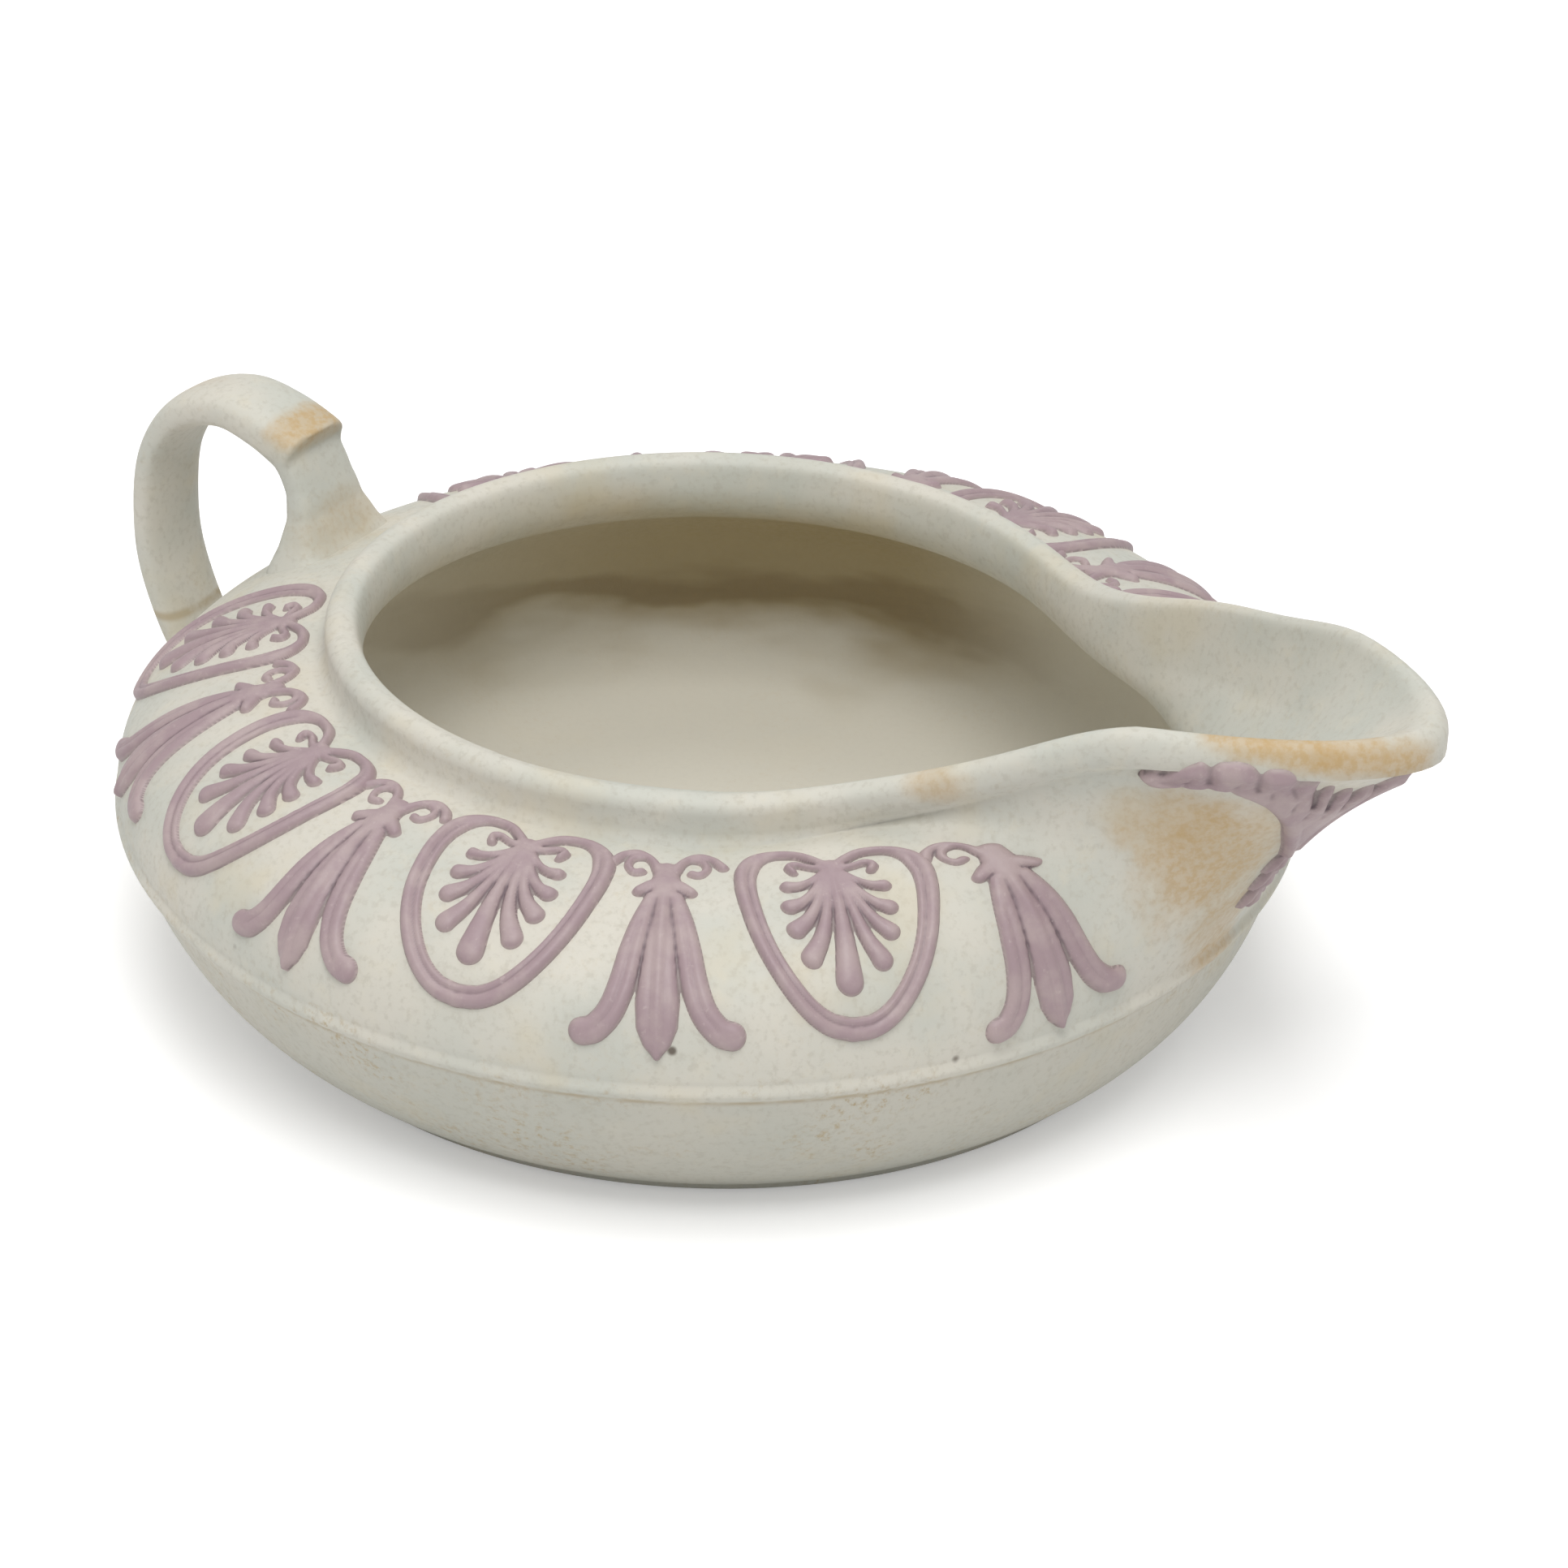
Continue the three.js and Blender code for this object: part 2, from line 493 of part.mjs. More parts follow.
// Bellflower: middle petal, calyx, two petals that curl outwards, and a link scroll to the given sides
function bellflowerRelief(linkSides) {
  const at = (across, down) => [across, lerp(BELL_TOP, BELL_BOTTOM, down)];
  const fullness = (share) => 0.3 + 0.7 * Math.sin(Math.PI * clamp(share, 0.05, 0.93) ** 1.8);
  const bulb = (share) => BELL_WIDTH / 2 * fullness(share);
  const pieces = [ridge([at(0, 0.06), at(0, 0.5), at(0, 1)], bulb, () => RELIEF, evenly(5))];
  const calyx = [at(0, 0), at(0, 0.1), at(0, 0.21)];
  pieces.push(ridge(calyx, (share) => BELL_WIDTH * lerp(0.28, 0.36, share), () => LOW_RELIEF, evenly(2)));
  for (const side of [1, -1]) {
    const out = PETAL_SPREAD * side;
    const petal = [at(0.095 * out, 0.15), at(0.345 * out, 0.4), at(0.485 * out, 0.68),
      at(0.62 * out, 0.85), at(out, 0.94)];
    const swell = (share) => PETAL_WIDTH / 2 * lerp(0.7, 1.1, share) * (share > 0.98 ? 0.65 : 1);
    pieces.push(ridge(petal, swell, () => LOW_RELIEF, evenly(6)));
    const bract = [at(0, 0.12), at(0.39 * BELL_WIDTH * side, 0.17), at(0.75 * BELL_WIDTH * side, 0.19)];
    pieces.push(ridge(bract, (share) => BELL_WIDTH * lerp(0.22, 0.11, share), () => LOW_RELIEF, evenly(2)));
  }
  for (const side of linkSides) {
    const out = LINK_REACH * side;
    const link = [at(0.095 * out, 0.03), at(0.395 * out, -0.09), at(0.7 * out, -0.12), at(out, -0.07)];
    pieces.push(ridge(link, () => LINK_WIDTH / 2, () => LOW_RELIEF, evenly(4)));
    const curl = [at(0.465 * out, -0.1), at(0.675 * out, -0.01), at(0.58 * out, 0.06)];
    pieces.push(ridge(curl, () => LINK_WIDTH / 2, () => LOW_RELIEF, evenly(2)));
  }
  return pieces;
}

// Unites pieces of flat relief while they are flat, where their undersides lie in one plane
function united(pieces, longest) {
  return refined(fromManifold(joined(pieces.map(toManifold))), longest);
}

// Splits edges until none is longer than given, so that the relief can follow the curve of the body
function refined(geometry, longest) {
  const place = geometry.getAttribute("position");
  const index = geometry.getIndex().array;
  const points = [];
  for (let i = 0; i < place.count; i += 1) points.push(new THREE.Vector3().fromBufferAttribute(place, i));
  let faces = [];
  for (let i = 0; i < index.length; i += 3) faces.push(Array.from(index.slice(i, i + 3)));
  for (;;) {
    let length = longest;
    let edge = null;
    for (const face of faces) {
      for (let i = 0; i < 3; i += 1) {
        const [from, to] = [face[i], face[(i + 1) % 3]];
        const distance = points[from].distanceTo(points[to]);
        if (distance > length) {
          length = distance;
          edge = [from, to];
        }
      }
    }
    if (!edge) break;
    const middle = points.push(points[edge[0]].clone().lerp(points[edge[1]], 0.5)) - 1;
    faces = faces.flatMap((face) => {
      const [a, b] = edge.map((end) => face.indexOf(end));
      return a < 0 || b < 0 ? [face] : [face.with(a, middle), face.with(b, middle)];
    });
  }
  const split = new THREE.BufferGeometry().setFromPoints(points);
  split.setIndex(faces.flat());
  return split;
}

// Lays relief on the underside of the spout: x runs across it, y from the lip towards the bead
function layUnderSpout(geometry) {
  const place = geometry.getAttribute("position");
  const length = keel.getLength();
  for (let i = 0; i < place.count; i += 1) {
    const share = clamp(1 - place.getY(i) / length, 0, 1);
    const turn = -place.getX(i) / SPOUT_REACH;
    const point = pointAt(shoulderLevel(share), turn);
    point.addScaledVector(shoulderNormal(share, turn), place.getZ(i));
    place.setXYZ(i, point.x, point.y, point.z);
  }
  return geometry;
}

// Leaf under the spout: a blade to the lip, an arm swept back to each side, and two husks down the keel
function leafRelief() {
  const blade = (share) => LEAF_BLADE / 2 * (0.25 + 0.75 * Math.sin(Math.PI * share ** 1.2));
  const pieces = [ridge([[0, LEAF_TOP], [0, LEAF_ROOT], [0, LEAF_STEM]], blade, () => RELIEF, evenly(6))];
  for (const side of [1, -1]) {
    const out = LEAF_ARM * side;
    const arm = [[0, LEAF_ROOT], [out * 0.3, LEAF_ROOT * 0.55], [out * 0.6, LEAF_ROOT * 0.25],
      [out, LEAF_ROOT * 0.2]];
    const scallop = (share) => (
      LEAF_BLADE * lerp(0.42, 0.23, share) * (0.8 + 0.2 * Math.cos(6 * Math.PI * share)));
    pieces.push(ridge(arm, scallop, () => RELIEF, evenly(9)));
  }
  const bud = (share) => HUSK_WIDTH / 2 * (0.35 + 0.65 * Math.sin(Math.PI * share));
  for (let i = 0; i < HUSKS; i += 1) {
    const top = LEAF_STEM + (i - 0.2) * HUSK_LENGTH;
    pieces.push(ridge([[0, top], [0, top + HUSK_LENGTH * 1.1]], bud, () => RELIEF, evenly(4)));
  }
  return pieces;
}

function named(name, geometry, material) {
  const mesh = new THREE.Mesh(geometry, material.clone());
  mesh.name = name;
  return mesh;
}

const jug = new THREE.Group();
jug.add(named("vessel_body", vesselBody(), CLAY));
jug.add(named("handle", handle(beddingSpace()), CLAY));

const palmette = united(palmetteRelief(), SHOULDER_EDGE);
const bellflower = united(bellflowerRelief([1, -1]), SHOULDER_EDGE);
for (const [side, hand] of [["left", 1], ["right", -1]]) {
  const endBellflower = united(bellflowerRelief([-hand]), SHOULDER_EDGE);
  for (let i = 0; i < SPRIGS_PER_SIDE; i += 1) {
    const angle = hand * (FIRST_SPRIG + i * SPRIG_PITCH);
    const kind = i % 2 ? "palmette" : "bellflower";
    const relief = i === 0 ? endBellflower : { palmette, bellflower }[kind];
    const number = Math.floor(i / 2) + 1;
    jug.add(named(`${kind}_${side}_${number}`, layOnShoulder(relief.clone(), angle), LILAC));
  }
}

jug.add(named("spout_leaf", layUnderSpout(united(leafRelief(), KEEL_EDGE)), LILAC));

export default jug;
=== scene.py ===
"""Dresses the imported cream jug: a dry-bodied stoneware vessel with applied lilac relief, on a pale floor.

The jug's sizes are millimetres, as on the potter's drawing, and turn to metres when a mesh is finished.
It stands on its foot at the origin, +Z up, with the spout along +X and the handle along -X.
"""

import math
from collections import namedtuple
from functools import partial

import bmesh
import bpy
import numpy as np
from bpy.props import FloatProperty, FloatVectorProperty, PointerProperty
from mathutils import Matrix, Vector


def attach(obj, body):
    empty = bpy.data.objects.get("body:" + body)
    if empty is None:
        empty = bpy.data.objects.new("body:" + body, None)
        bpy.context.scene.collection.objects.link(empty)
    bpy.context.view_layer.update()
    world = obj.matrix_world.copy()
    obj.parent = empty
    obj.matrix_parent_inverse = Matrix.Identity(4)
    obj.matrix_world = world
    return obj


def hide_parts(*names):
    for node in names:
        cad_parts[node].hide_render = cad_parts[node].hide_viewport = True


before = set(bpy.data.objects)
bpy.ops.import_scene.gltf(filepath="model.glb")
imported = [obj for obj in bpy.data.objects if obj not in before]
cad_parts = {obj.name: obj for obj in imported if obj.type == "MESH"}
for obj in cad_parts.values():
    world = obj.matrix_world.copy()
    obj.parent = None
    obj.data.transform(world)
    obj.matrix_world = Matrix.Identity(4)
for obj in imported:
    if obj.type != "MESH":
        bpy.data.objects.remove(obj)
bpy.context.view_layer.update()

bl_info = {
    "name": "Cream jug dressing",
    "version": (1, 0, 0),
    "blender": (4, 5, 0),
    "location": "3D View > Sidebar > Jug",
    "description": "Fine surfaces, relief and finishes for a stoneware cream jug",
    "category": "Object",
}

MM = 0.001

# The body's plain section
FOOT_RADIUS = 44.8
FOOT_BEVEL = 0.9
UNDER_FOOT = (12, 24, 34, 41)     # radii of the rings that divide the flat underside
WALL_BULGE = 2.6
CREASE_RADIUS = 57.0
CREASE_HEIGHT = 16.8
CREASE_STEP = 0.5                 # the lower wall ends this far inside the crease radius
BEAD_RADIUS = 1.3
BEAD_SWELL = 0.72                 # how far the bead stands out between the lower wall and the shoulder
BEAD_SPAN = (0.08, 0.96)          # shares of the bead's height between which it has levels
BEAD_TOP = (CREASE_RADIUS + BEAD_RADIUS * 0.3, CREASE_HEIGHT + 2 * BEAD_RADIUS)
NECK_RADIUS = 37.6
NECK_FOOT_HEIGHT = 31.7
NECK_RUN = 1.4                    # from the foot of the neck up to the rolled lip
SHOULDER_FULLNESS = 2.2           # 2 is a quarter of an ellipse, more is fuller
SHOULDER_SAG = 1.5                # the shoulder slumped by this at the handle
SAG_FADE = 1.5                    # power of the cosine with which that fades round the body
LIP_RADIUS = 35.3
LIP_HEIGHT = 34.4
LIP_THICKNESS = 3.2
MOUTH_SHIFT = -0.7                # x of the middle of the mouth
WALL = 3.2
FLOOR = 3.6

# The spout: a tongue pulled out of the shoulder and lip
SPOUT_DRAW = 2.0                  # below the spout the crease is drawn in by this
DRAW_FADE = 3                     # power of the cosine with which that fades round the body
SPOUT_REACH = 74.4
SPOUT_RISE = 11.6                 # its tip stands this much above the rest of the lip
SPOUT_HALF_WIDTH = 24.6
SPOUT_POINT = 1.78                # 2 is an ellipse, less is more pointed
SPOUT_BELLY_POINT = 2.3
SPOUT_TUCK = 5.0                  # each side comes in by this from the lip down to the bead
SPOUT_BLEND = 10                  # the more, the tighter the corner between tongue and round body
CLIMB_START = 20.0                # x between which the lip climbs to its tip
CLIMB_END = 62.7
KEEL = np.array([
    (BEAD_TOP[0] - SPOUT_DRAW, BEAD_TOP[1]),
    (59.8, 28.5),
    (62.9, 35.6),
    (SPOUT_REACH - 0.4, LIP_HEIGHT + SPOUT_RISE - 2.6),
])
KEEL_LENGTH = 30.8                # from the foot of the neck down the underside of the spout to the bead

# The sides of the spout were pulled up unevenly
SPOUT_SKEW = 0.075                # fall for each millimetre to the left
SKEW_AT = 53.0                    # x where it is strongest
SKEW_RUN = 8.0                    # how far along x it fades
SKEW_RISE = (26.0, 40.0)          # heights between which it comes in

# The inside from the top of the lip, on the plain side and under the spout in the plane of symmetry
INNER_WALL = [
    (35.3, 36.0), (34.1, 35.5), (33.6, 34.1), (33.5, 32.2), (34.2, 30.3), (36.2, 28.6), (40.0, 26.8),
    (45.0, 23.9), (49.0, 19.6), (50.3, 14.6), (48.6, 10.6), (43.6, 7.3), (36.0, 5.3), (26.0, 4.1),
    (12.0, FLOOR),
]
INNER_THROAT = [
    (74.4, 47.6), (72.9, 47.0), (70.9, 45.6), (67.4, 43.2), (62.8, 40.0), (57.4, 36.0), (51.8, 31.6),
    (46.4, 26.6), (42.6, 20.8), (40.4, 15.0), (38.4, 10.6), (35.2, 7.3), (30.0, 5.3), (23.0, 4.1),
    (12.0, FLOOR),
]
INNER_POINT_FADE = 0.55           # share of the way down at which the inside has its belly's point

# How finely the surfaces are divided
ROUND_STEPS = 256
CROWDING = 0.35                   # 0 spaces them evenly round the body, 1 crowds them at the spout
WALL_STEPS = 22
BEAD_STEPS = 15
SHOULDER_STEPS = 49
LIP_STEPS = 9
INNER_STEPS = 84
DESCENT_STEPS = 401
STRAP_STEPS = 110
STRAP_SIDES = 36
OUTLINE_POINTS = 60
RELIEF_CELL = 0.16

# Relief: heights in the drawings are shares of the full height
RELIEF_HEIGHT = 0.74
LEAF_RELIEF_HEIGHT = 0.95
NO_RELIEF = -9.0                  # height of a drawing where nothing is drawn yet
FALL_BESIDE = 1.5                 # how fast a drawing falls away beside a stroke
ROUND = 2.0                       # fullness of a stroke with a round section
FLAT = 3.0                        # and of one with a flatter top
DEEPEST = -0.6                    # drawings are cut off at this height
TRIMMED = -0.25                   # the sheet is cut away below this height, in millimetres
BEDDING = 0.9                     # how deep relief goes into the body, so that no gap shows
HOLLOW_ROUNDS = 12                # rounds of evening out that find what lies in a hollow
HOLLOW_SHADE_DEPTH = 0.35               # a hollow this deep gets the full painted shade

# Near the spout the sprigs sit lower
SPRIG_SINK = 6.0                  # by this at the neck
SINK_REACH = 35.0                 # fading to nothing this far below the neck
SINK_START = math.radians(20)     # and between these angles from the spout
SINK_END = math.radians(62)
SPRIG_MIDDLE = 12.0               # a sprig leans about a point this far below its top

# Names that finished is given for each piece's material slot
STONEWARE_SLOT = "stoneware"
RELIEF_SLOT = "lilac_relief"


# Shape of the body

def smoothstep(value, start, end):
    """0 before start, 1 after end, and an even curve between them."""
    share = np.clip((value - start) / (end - start), 0, 1)
    return share * share * (3 - 2 * share)


def keel(share):
    """The underside of the spout in the plane of symmetry: reach and height, 0 at the bead, 1 at the lip."""
    t = np.asarray(share, float)[..., None]
    return ((1 - t) ** 3 * KEEL[0] + 3 * t * (1 - t) ** 2 * KEEL[1]
            + 3 * t * t * (1 - t) * KEEL[2] + t ** 3 * KEEL[3])


def level(radius, height, reach=0.0, tip_height=None, half_width=1.0, point=2.0, shift=0.0, draw=0.0,
          sag=0.0):
    """One level of the body: a circle at a height, drawn in or pulled out to a tongue at the spout."""
    tip_height = height if tip_height is None else tip_height
    values = np.broadcast_arrays(radius, height, reach, tip_height, half_width, point, shift, draw, sag)
    return np.stack(values, -1).astype(float)


# Columns of a level that are read by themselves
RADIUS, HEIGHT, TIP_HEIGHT, SHIFT = 0, 1, 3, 6


def bowl_level(radius, height):
    """A level of the lower bowl or of the bead."""
    return level(radius, height, draw=SPOUT_DRAW * min(height / CREASE_HEIGHT, 1))


def shoulder_level(share):
    """Level on the shoulder: 0 at the bead, 1 at the foot of the neck."""
    share = np.asarray(share, float)
    turn = share * math.pi / 2
    power = 2 / SHOULDER_FULLNESS
    radius = NECK_RADIUS + (BEAD_TOP[0] - NECK_RADIUS) * np.maximum(np.cos(turn), 0) ** power
    height = BEAD_TOP[1] + (NECK_FOOT_HEIGHT - BEAD_TOP[1]) * np.maximum(np.sin(turn), 0) ** power
    tip = keel(share)
    half_width = SPOUT_HALF_WIDTH - SPOUT_TUCK * (1 - share)
    point = SPOUT_BELLY_POINT + (SPOUT_POINT - SPOUT_BELLY_POINT) * share
    return level(radius, height, tip[..., 0], tip[..., 1], half_width, point,
                 MOUTH_SHIFT * share, SPOUT_DRAW * (1 - share), SHOULDER_SAG * np.sin(math.pi * share))


def lip_level(out, up):
    """Level round the lip, beside its middle by (out, up)."""
    return level(LIP_RADIUS + out, LIP_HEIGHT + up, SPOUT_REACH + out, LIP_HEIGHT + SPOUT_RISE + up,
                 SPOUT_HALF_WIDTH + out, SPOUT_POINT, MOUTH_SHIFT)


def inner_levels():
    """The inside of the jug from the lip down to the middle of its floor."""
    radius, height = curve_through(INNER_WALL, INNER_STEPS).T
    reach, tip_height = curve_through(INNER_THROAT, INNER_STEPS).T
    up = smoothstep(np.linspace(0, 1, INNER_STEPS), INNER_POINT_FADE, 0)
    half_width = np.linspace(SPOUT_HALF_WIDTH, SPOUT_HALF_WIDTH - SPOUT_TUCK - WALL, INNER_STEPS)
    point = SPOUT_BELLY_POINT + (SPOUT_POINT - SPOUT_BELLY_POINT) * up
    drawn_in = np.maximum(radius - reach, 0)
    return level(radius, height, reach, tip_height, half_width, point, MOUTH_SHIFT * up, drawn_in)[1:]


def body_point(at, angle):
    """Points of levels at angles from the spout."""
    plain_radius, height, reach, tip_height, half_width, point, shift, draw, sag = np.moveaxis(at, -1, 0)
    forward = np.maximum(np.cos(angle), 0)
    nearest = plain_radius - draw
    radius = plain_radius - draw * forward ** DRAW_FADE
    pulled = (forward > 1e-6) & (reach > nearest)
    base = np.where(pulled, reach ** SPOUT_BLEND - nearest ** SPOUT_BLEND, 1.0)
    length = base ** (1 / SPOUT_BLEND)
    spread = (np.where(pulled, forward, 1.0) / length) ** point + np.abs(np.sin(angle) / half_width) ** point
    tongue = np.where(pulled, spread ** (-1 / point), 0.0)
    radius = (radius ** SPOUT_BLEND + tongue ** SPOUT_BLEND) ** (1 / SPOUT_BLEND)
    x = radius * np.cos(angle)
    y = radius * np.sin(angle)
    climbed = smoothstep(x, CLIMB_START, np.clip(reach, CLIMB_START + 1, CLIMB_END))
    height = height + (tip_height - height) * climbed - sag * np.maximum(-np.cos(angle), 0) ** SAG_FADE
    skewed = SPOUT_SKEW * y * np.exp(-((x - SKEW_AT) / SKEW_RUN) ** 2) * smoothstep(height, *SKEW_RISE)
    height = np.minimum(height - skewed, np.maximum(height, tip_height))
    return np.stack((x + shift, y, height), -1)


def shoulder_normal(share, angle):
    """Outward direction of the shoulder's surface."""
    step = 0.004
    up = (body_point(shoulder_level(np.clip(share + step, 0, 1)), angle)
          - body_point(shoulder_level(np.clip(share - step, 0, 1)), angle))
    along = body_point(shoulder_level(share), angle + step) - body_point(shoulder_level(share), angle - step)
    normal = np.cross(along, up)
    return normal / np.linalg.norm(normal, axis=-1, keepdims=True)


# The shoulder's plain section from the neck down: lengths along it and the shares that they reach
DESCENT_SHARES = np.linspace(1, 0, DESCENT_STEPS)
DESCENT = shoulder_level(DESCENT_SHARES)
DESCENT_RUNS = np.hypot(np.diff(DESCENT[:, RADIUS] - DESCENT[:, SHIFT]), np.diff(DESCENT[:, HEIGHT]))
DESCENT_LENGTHS = np.concatenate(([0], np.cumsum(DESCENT_RUNS)))


def share_below_neck(distance):
    """Share of the shoulder that lies a distance below the neck, measured along the plain section."""
    return np.interp(distance, DESCENT_LENGTHS, DESCENT_SHARES)


def bezier(start, control, end, steps):
    """Points of a quadratic curve, both ends included."""
    start, control, end = (np.array(p, float) for p in (start, control, end))
    return [(1 - t) ** 2 * start + 2 * t * (1 - t) * control + t * t * end
            for t in np.linspace(0, 1, steps + 1)]


def body_levels():
    """Every level of the body, from under the foot over the lip to the floor, and how many lie outside."""
    levels = [level(radius, 0.0) for radius in UNDER_FOOT]
    levels += [level(FOOT_RADIUS - FOOT_BEVEL, 0.0), level(FOOT_RADIUS - FOOT_BEVEL * 0.3, FOOT_BEVEL * 0.3)]
    top = np.array((CREASE_RADIUS - CREASE_STEP, CREASE_HEIGHT))
    foot = np.array((FOOT_RADIUS, FOOT_BEVEL))
    bulge = (foot + top) / 2 + (WALL_BULGE, -WALL_BULGE)
    levels += [bowl_level(*p) for p in bezier(foot, bulge, top, WALL_STEPS)]
    # the bead is round below and softens into the shoulder above
    for t in np.linspace(*BEAD_SPAN, BEAD_STEPS):
        swell = math.sin(math.pi * t) ** (1 if t < 0.5 else 2)
        levels.append(bowl_level(top[0] + (BEAD_TOP[0] - top[0]) * t + BEAD_SWELL * swell,
                                 CREASE_HEIGHT + 2 * BEAD_RADIUS * t))
    levels += [shoulder_level(share) for share in np.linspace(0, 1, SHOULDER_STEPS)]
    half = LIP_THICKNESS / 2
    levels.append(lip_level(half, -half))
    for turn in np.linspace(0, math.pi / 2, LIP_STEPS):
        levels.append(lip_level(math.cos(turn) * half, math.sin(turn) * half))
    return np.vstack((levels, inner_levels())), len(levels)


# Meshes

def made_mesh(name, bm):
    """The mesh of a bmesh that is ready."""
    mesh = bpy.data.meshes.new(name)
    bm.to_mesh(mesh)
    bm.free()
    return mesh


def read_points(mesh):
    """The places of a mesh's vertices, one to a row."""
    points = np.empty(len(mesh.vertices) * 3)
    mesh.vertices.foreach_get("co", points)
    return points.reshape(-1, 3)


def write_points(mesh, points):
    """Moves a mesh's vertices."""
    mesh.vertices.foreach_set("co", points.astype(np.float32).ravel())
    mesh.update()


def write_attribute(mesh, name, values):
    """A number for each vertex that the finishes read."""
    attribute = mesh.attributes.new(name, "FLOAT", "POINT")
    attribute.data.foreach_set("value", np.asarray(values, np.float32))


def finished(name, mesh, material, slot, *nodes):
    """Puts a mesh in the scene as a piece of the jug that takes the place of CAD nodes."""
    if name in bpy.data.objects:
        raise RuntimeError(f"{name} is already made")
    piece = bpy.data.objects.new(name, mesh)
    bpy.context.scene.collection.objects.link(piece)
    mesh.materials.append(material)
    mesh.shade_smooth()
    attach(piece, "root")
    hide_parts(*nodes)
    return piece


def spun_body():
    """The shell: its section is spun round the axis, then the spout is pulled out of it."""
    levels, outside = body_levels()
    bm = bmesh.new()
    tag = bm.verts.layers.int.new("level")
    chain = [bm.verts.new((0, 0, 0))]
    chain += [bm.verts.new((at[0], 0, at[1])) for at in levels]
    chain.append(bm.verts.new((0, 0, FLOOR)))
    for number, vert in enumerate(chain):
        vert[tag] = number - 1
    edges = [bm.edges.new(pair) for pair in zip(chain, chain[1:])]
    bmesh.ops.spin(bm, geom=chain + edges, cent=(0, 0, 0), axis=(0, 0, 1), angle=2 * math.pi,
                   steps=ROUND_STEPS, use_merge=True)
    bmesh.ops.remove_doubles(bm, verts=bm.verts, dist=1e-3)
    bmesh.ops.recalc_face_normals(bm, faces=bm.faces)
    mesh = made_mesh("body_shell", bm)
    points = read_points(mesh)
    number = np.empty(len(points), np.int32)
    mesh.attributes["level"].data.foreach_get("value", number)
    even = np.arctan2(points[:, 1], points[:, 0])
    ring = (number >= 0) & (number < len(levels))
    pulled = body_point(levels[np.clip(number, 0, len(levels) - 1)], even - CROWDING * np.sin(even))
    points = np.where(ring[:, None], pulled, points)
    write_points(mesh, points * MM)
    write_attribute(mesh, "inside", number >= outside)
    mesh.attributes.remove(mesh.attributes["level"])
    return mesh


# Relief, drawn flat

def curve_through(points, samples=48):
    """Points along a smooth curve through the given ones."""
    points = np.array(points, float)
    ends = np.vstack((2 * points[0] - points[1], points, 2 * points[-1] - points[-2]))
    spans = len(points) - 1
    at = np.linspace(0, spans, samples)
    start = np.minimum(at.astype(int), spans - 1)
    t = (at - start)[:, None]
    a, b, c, d = (ends[start + i] for i in range(4))
    return 0.5 * (2 * b + (c - a) * t + (2 * a - 5 * b + 4 * c - d) * t ** 2
                  + (3 * b - a - 3 * c + d) * t ** 3)


def nearest_on(line, x, y):
    """Distance from each point to a line, and how far along the line the nearest place is, 0 to 1."""
    start, end = line[:-1], line[1:]
    best = np.full(x.shape, np.inf)
    along = np.zeros(x.shape)
    for i, ((x0, y0), (x1, y1)) in enumerate(zip(start, end)):
        dx, dy = x1 - x0, y1 - y0
        t = np.clip(((x - x0) * dx + (y - y0) * dy) / (dx * dx + dy * dy + 1e-12), 0, 1)
        distance = np.hypot(x - x0 - t * dx, y - y0 - t * dy)
        closer = distance < best
        best[closer] = distance[closer]
        along[closer] = (i + t[closer]) / len(start)
    return best, along


def domed(distance, half, top, fullness, steepness=0.5):
    """Height at a distance from a line: rounded within its half-width, and falling away outside."""
    across = np.minimum(distance / half, 1)
    rounded = top * np.maximum(1 - across ** fullness, 0) ** steepness
    return np.where(across < 1, rounded, (half - distance) * FALL_BESIDE)


def ridge(x, y, points, widths, heights, fullness=FLAT):
    """Height of a rounded ridge along a curve: its half-widths and heights are spread along it."""
    distance, along = nearest_on(curve_through(points), x, y)
    heights = np.atleast_1d(heights)
    half = np.interp(along, np.linspace(0, 1, len(widths)), widths)
    top = np.interp(along, np.linspace(0, 1, len(heights)), heights)
    return domed(distance, half, top, fullness)


def softened(values, rounds):
    """Evens out neighbouring cells, as clay leaves a worn mould."""
    for _ in range(rounds):
        values = (values + 0.5 * (np.roll(values, 1, 0) + np.roll(values, -1, 0))) / 2
        values = (values + 0.5 * (np.roll(values, 1, 1) + np.roll(values, -1, 1))) / 2
    return values


def mirrored(points, side):
    """The points as they are drawn for a side of 1, and mirrored for a side of -1."""
    return [(x * side, y) for x, y in points]


FRAME_OUTLINE = [(0, 3.3), (0.9, 2.3), (2.2, 1.3), (3.8, 1.0), (5.6, 1.3), (7.3, 2.4), (8.4, 4.2),
                 (8.85, 6.6), (8.85, 9.0), (8.5, 12.0), (7.6, 14.9), (6.15, 17.5), (4.35, 19.5), (2.3, 20.7),
                 (0, 21.1)]
FRAME_PARTS = (0.22, 0.42)        # shares of the outline between which its ridges draw apart
# The frame's ridges, outermost first: inset, half-width and height, each at the top and lower down
FRAME_RIDGES = [
    ((0.52, 0.64), (0.52, 0.64), (0.85, 0.92)),
    ((0.55, 0.93), (0.5, 0.9), (0.4, 0.4)),
    ((0.75, 1.63), (0.26, 0.28), (0.5, 0.68)),
]
FRAME_FULLNESS = 2.2
FRAME_STEEPNESS = 0.55
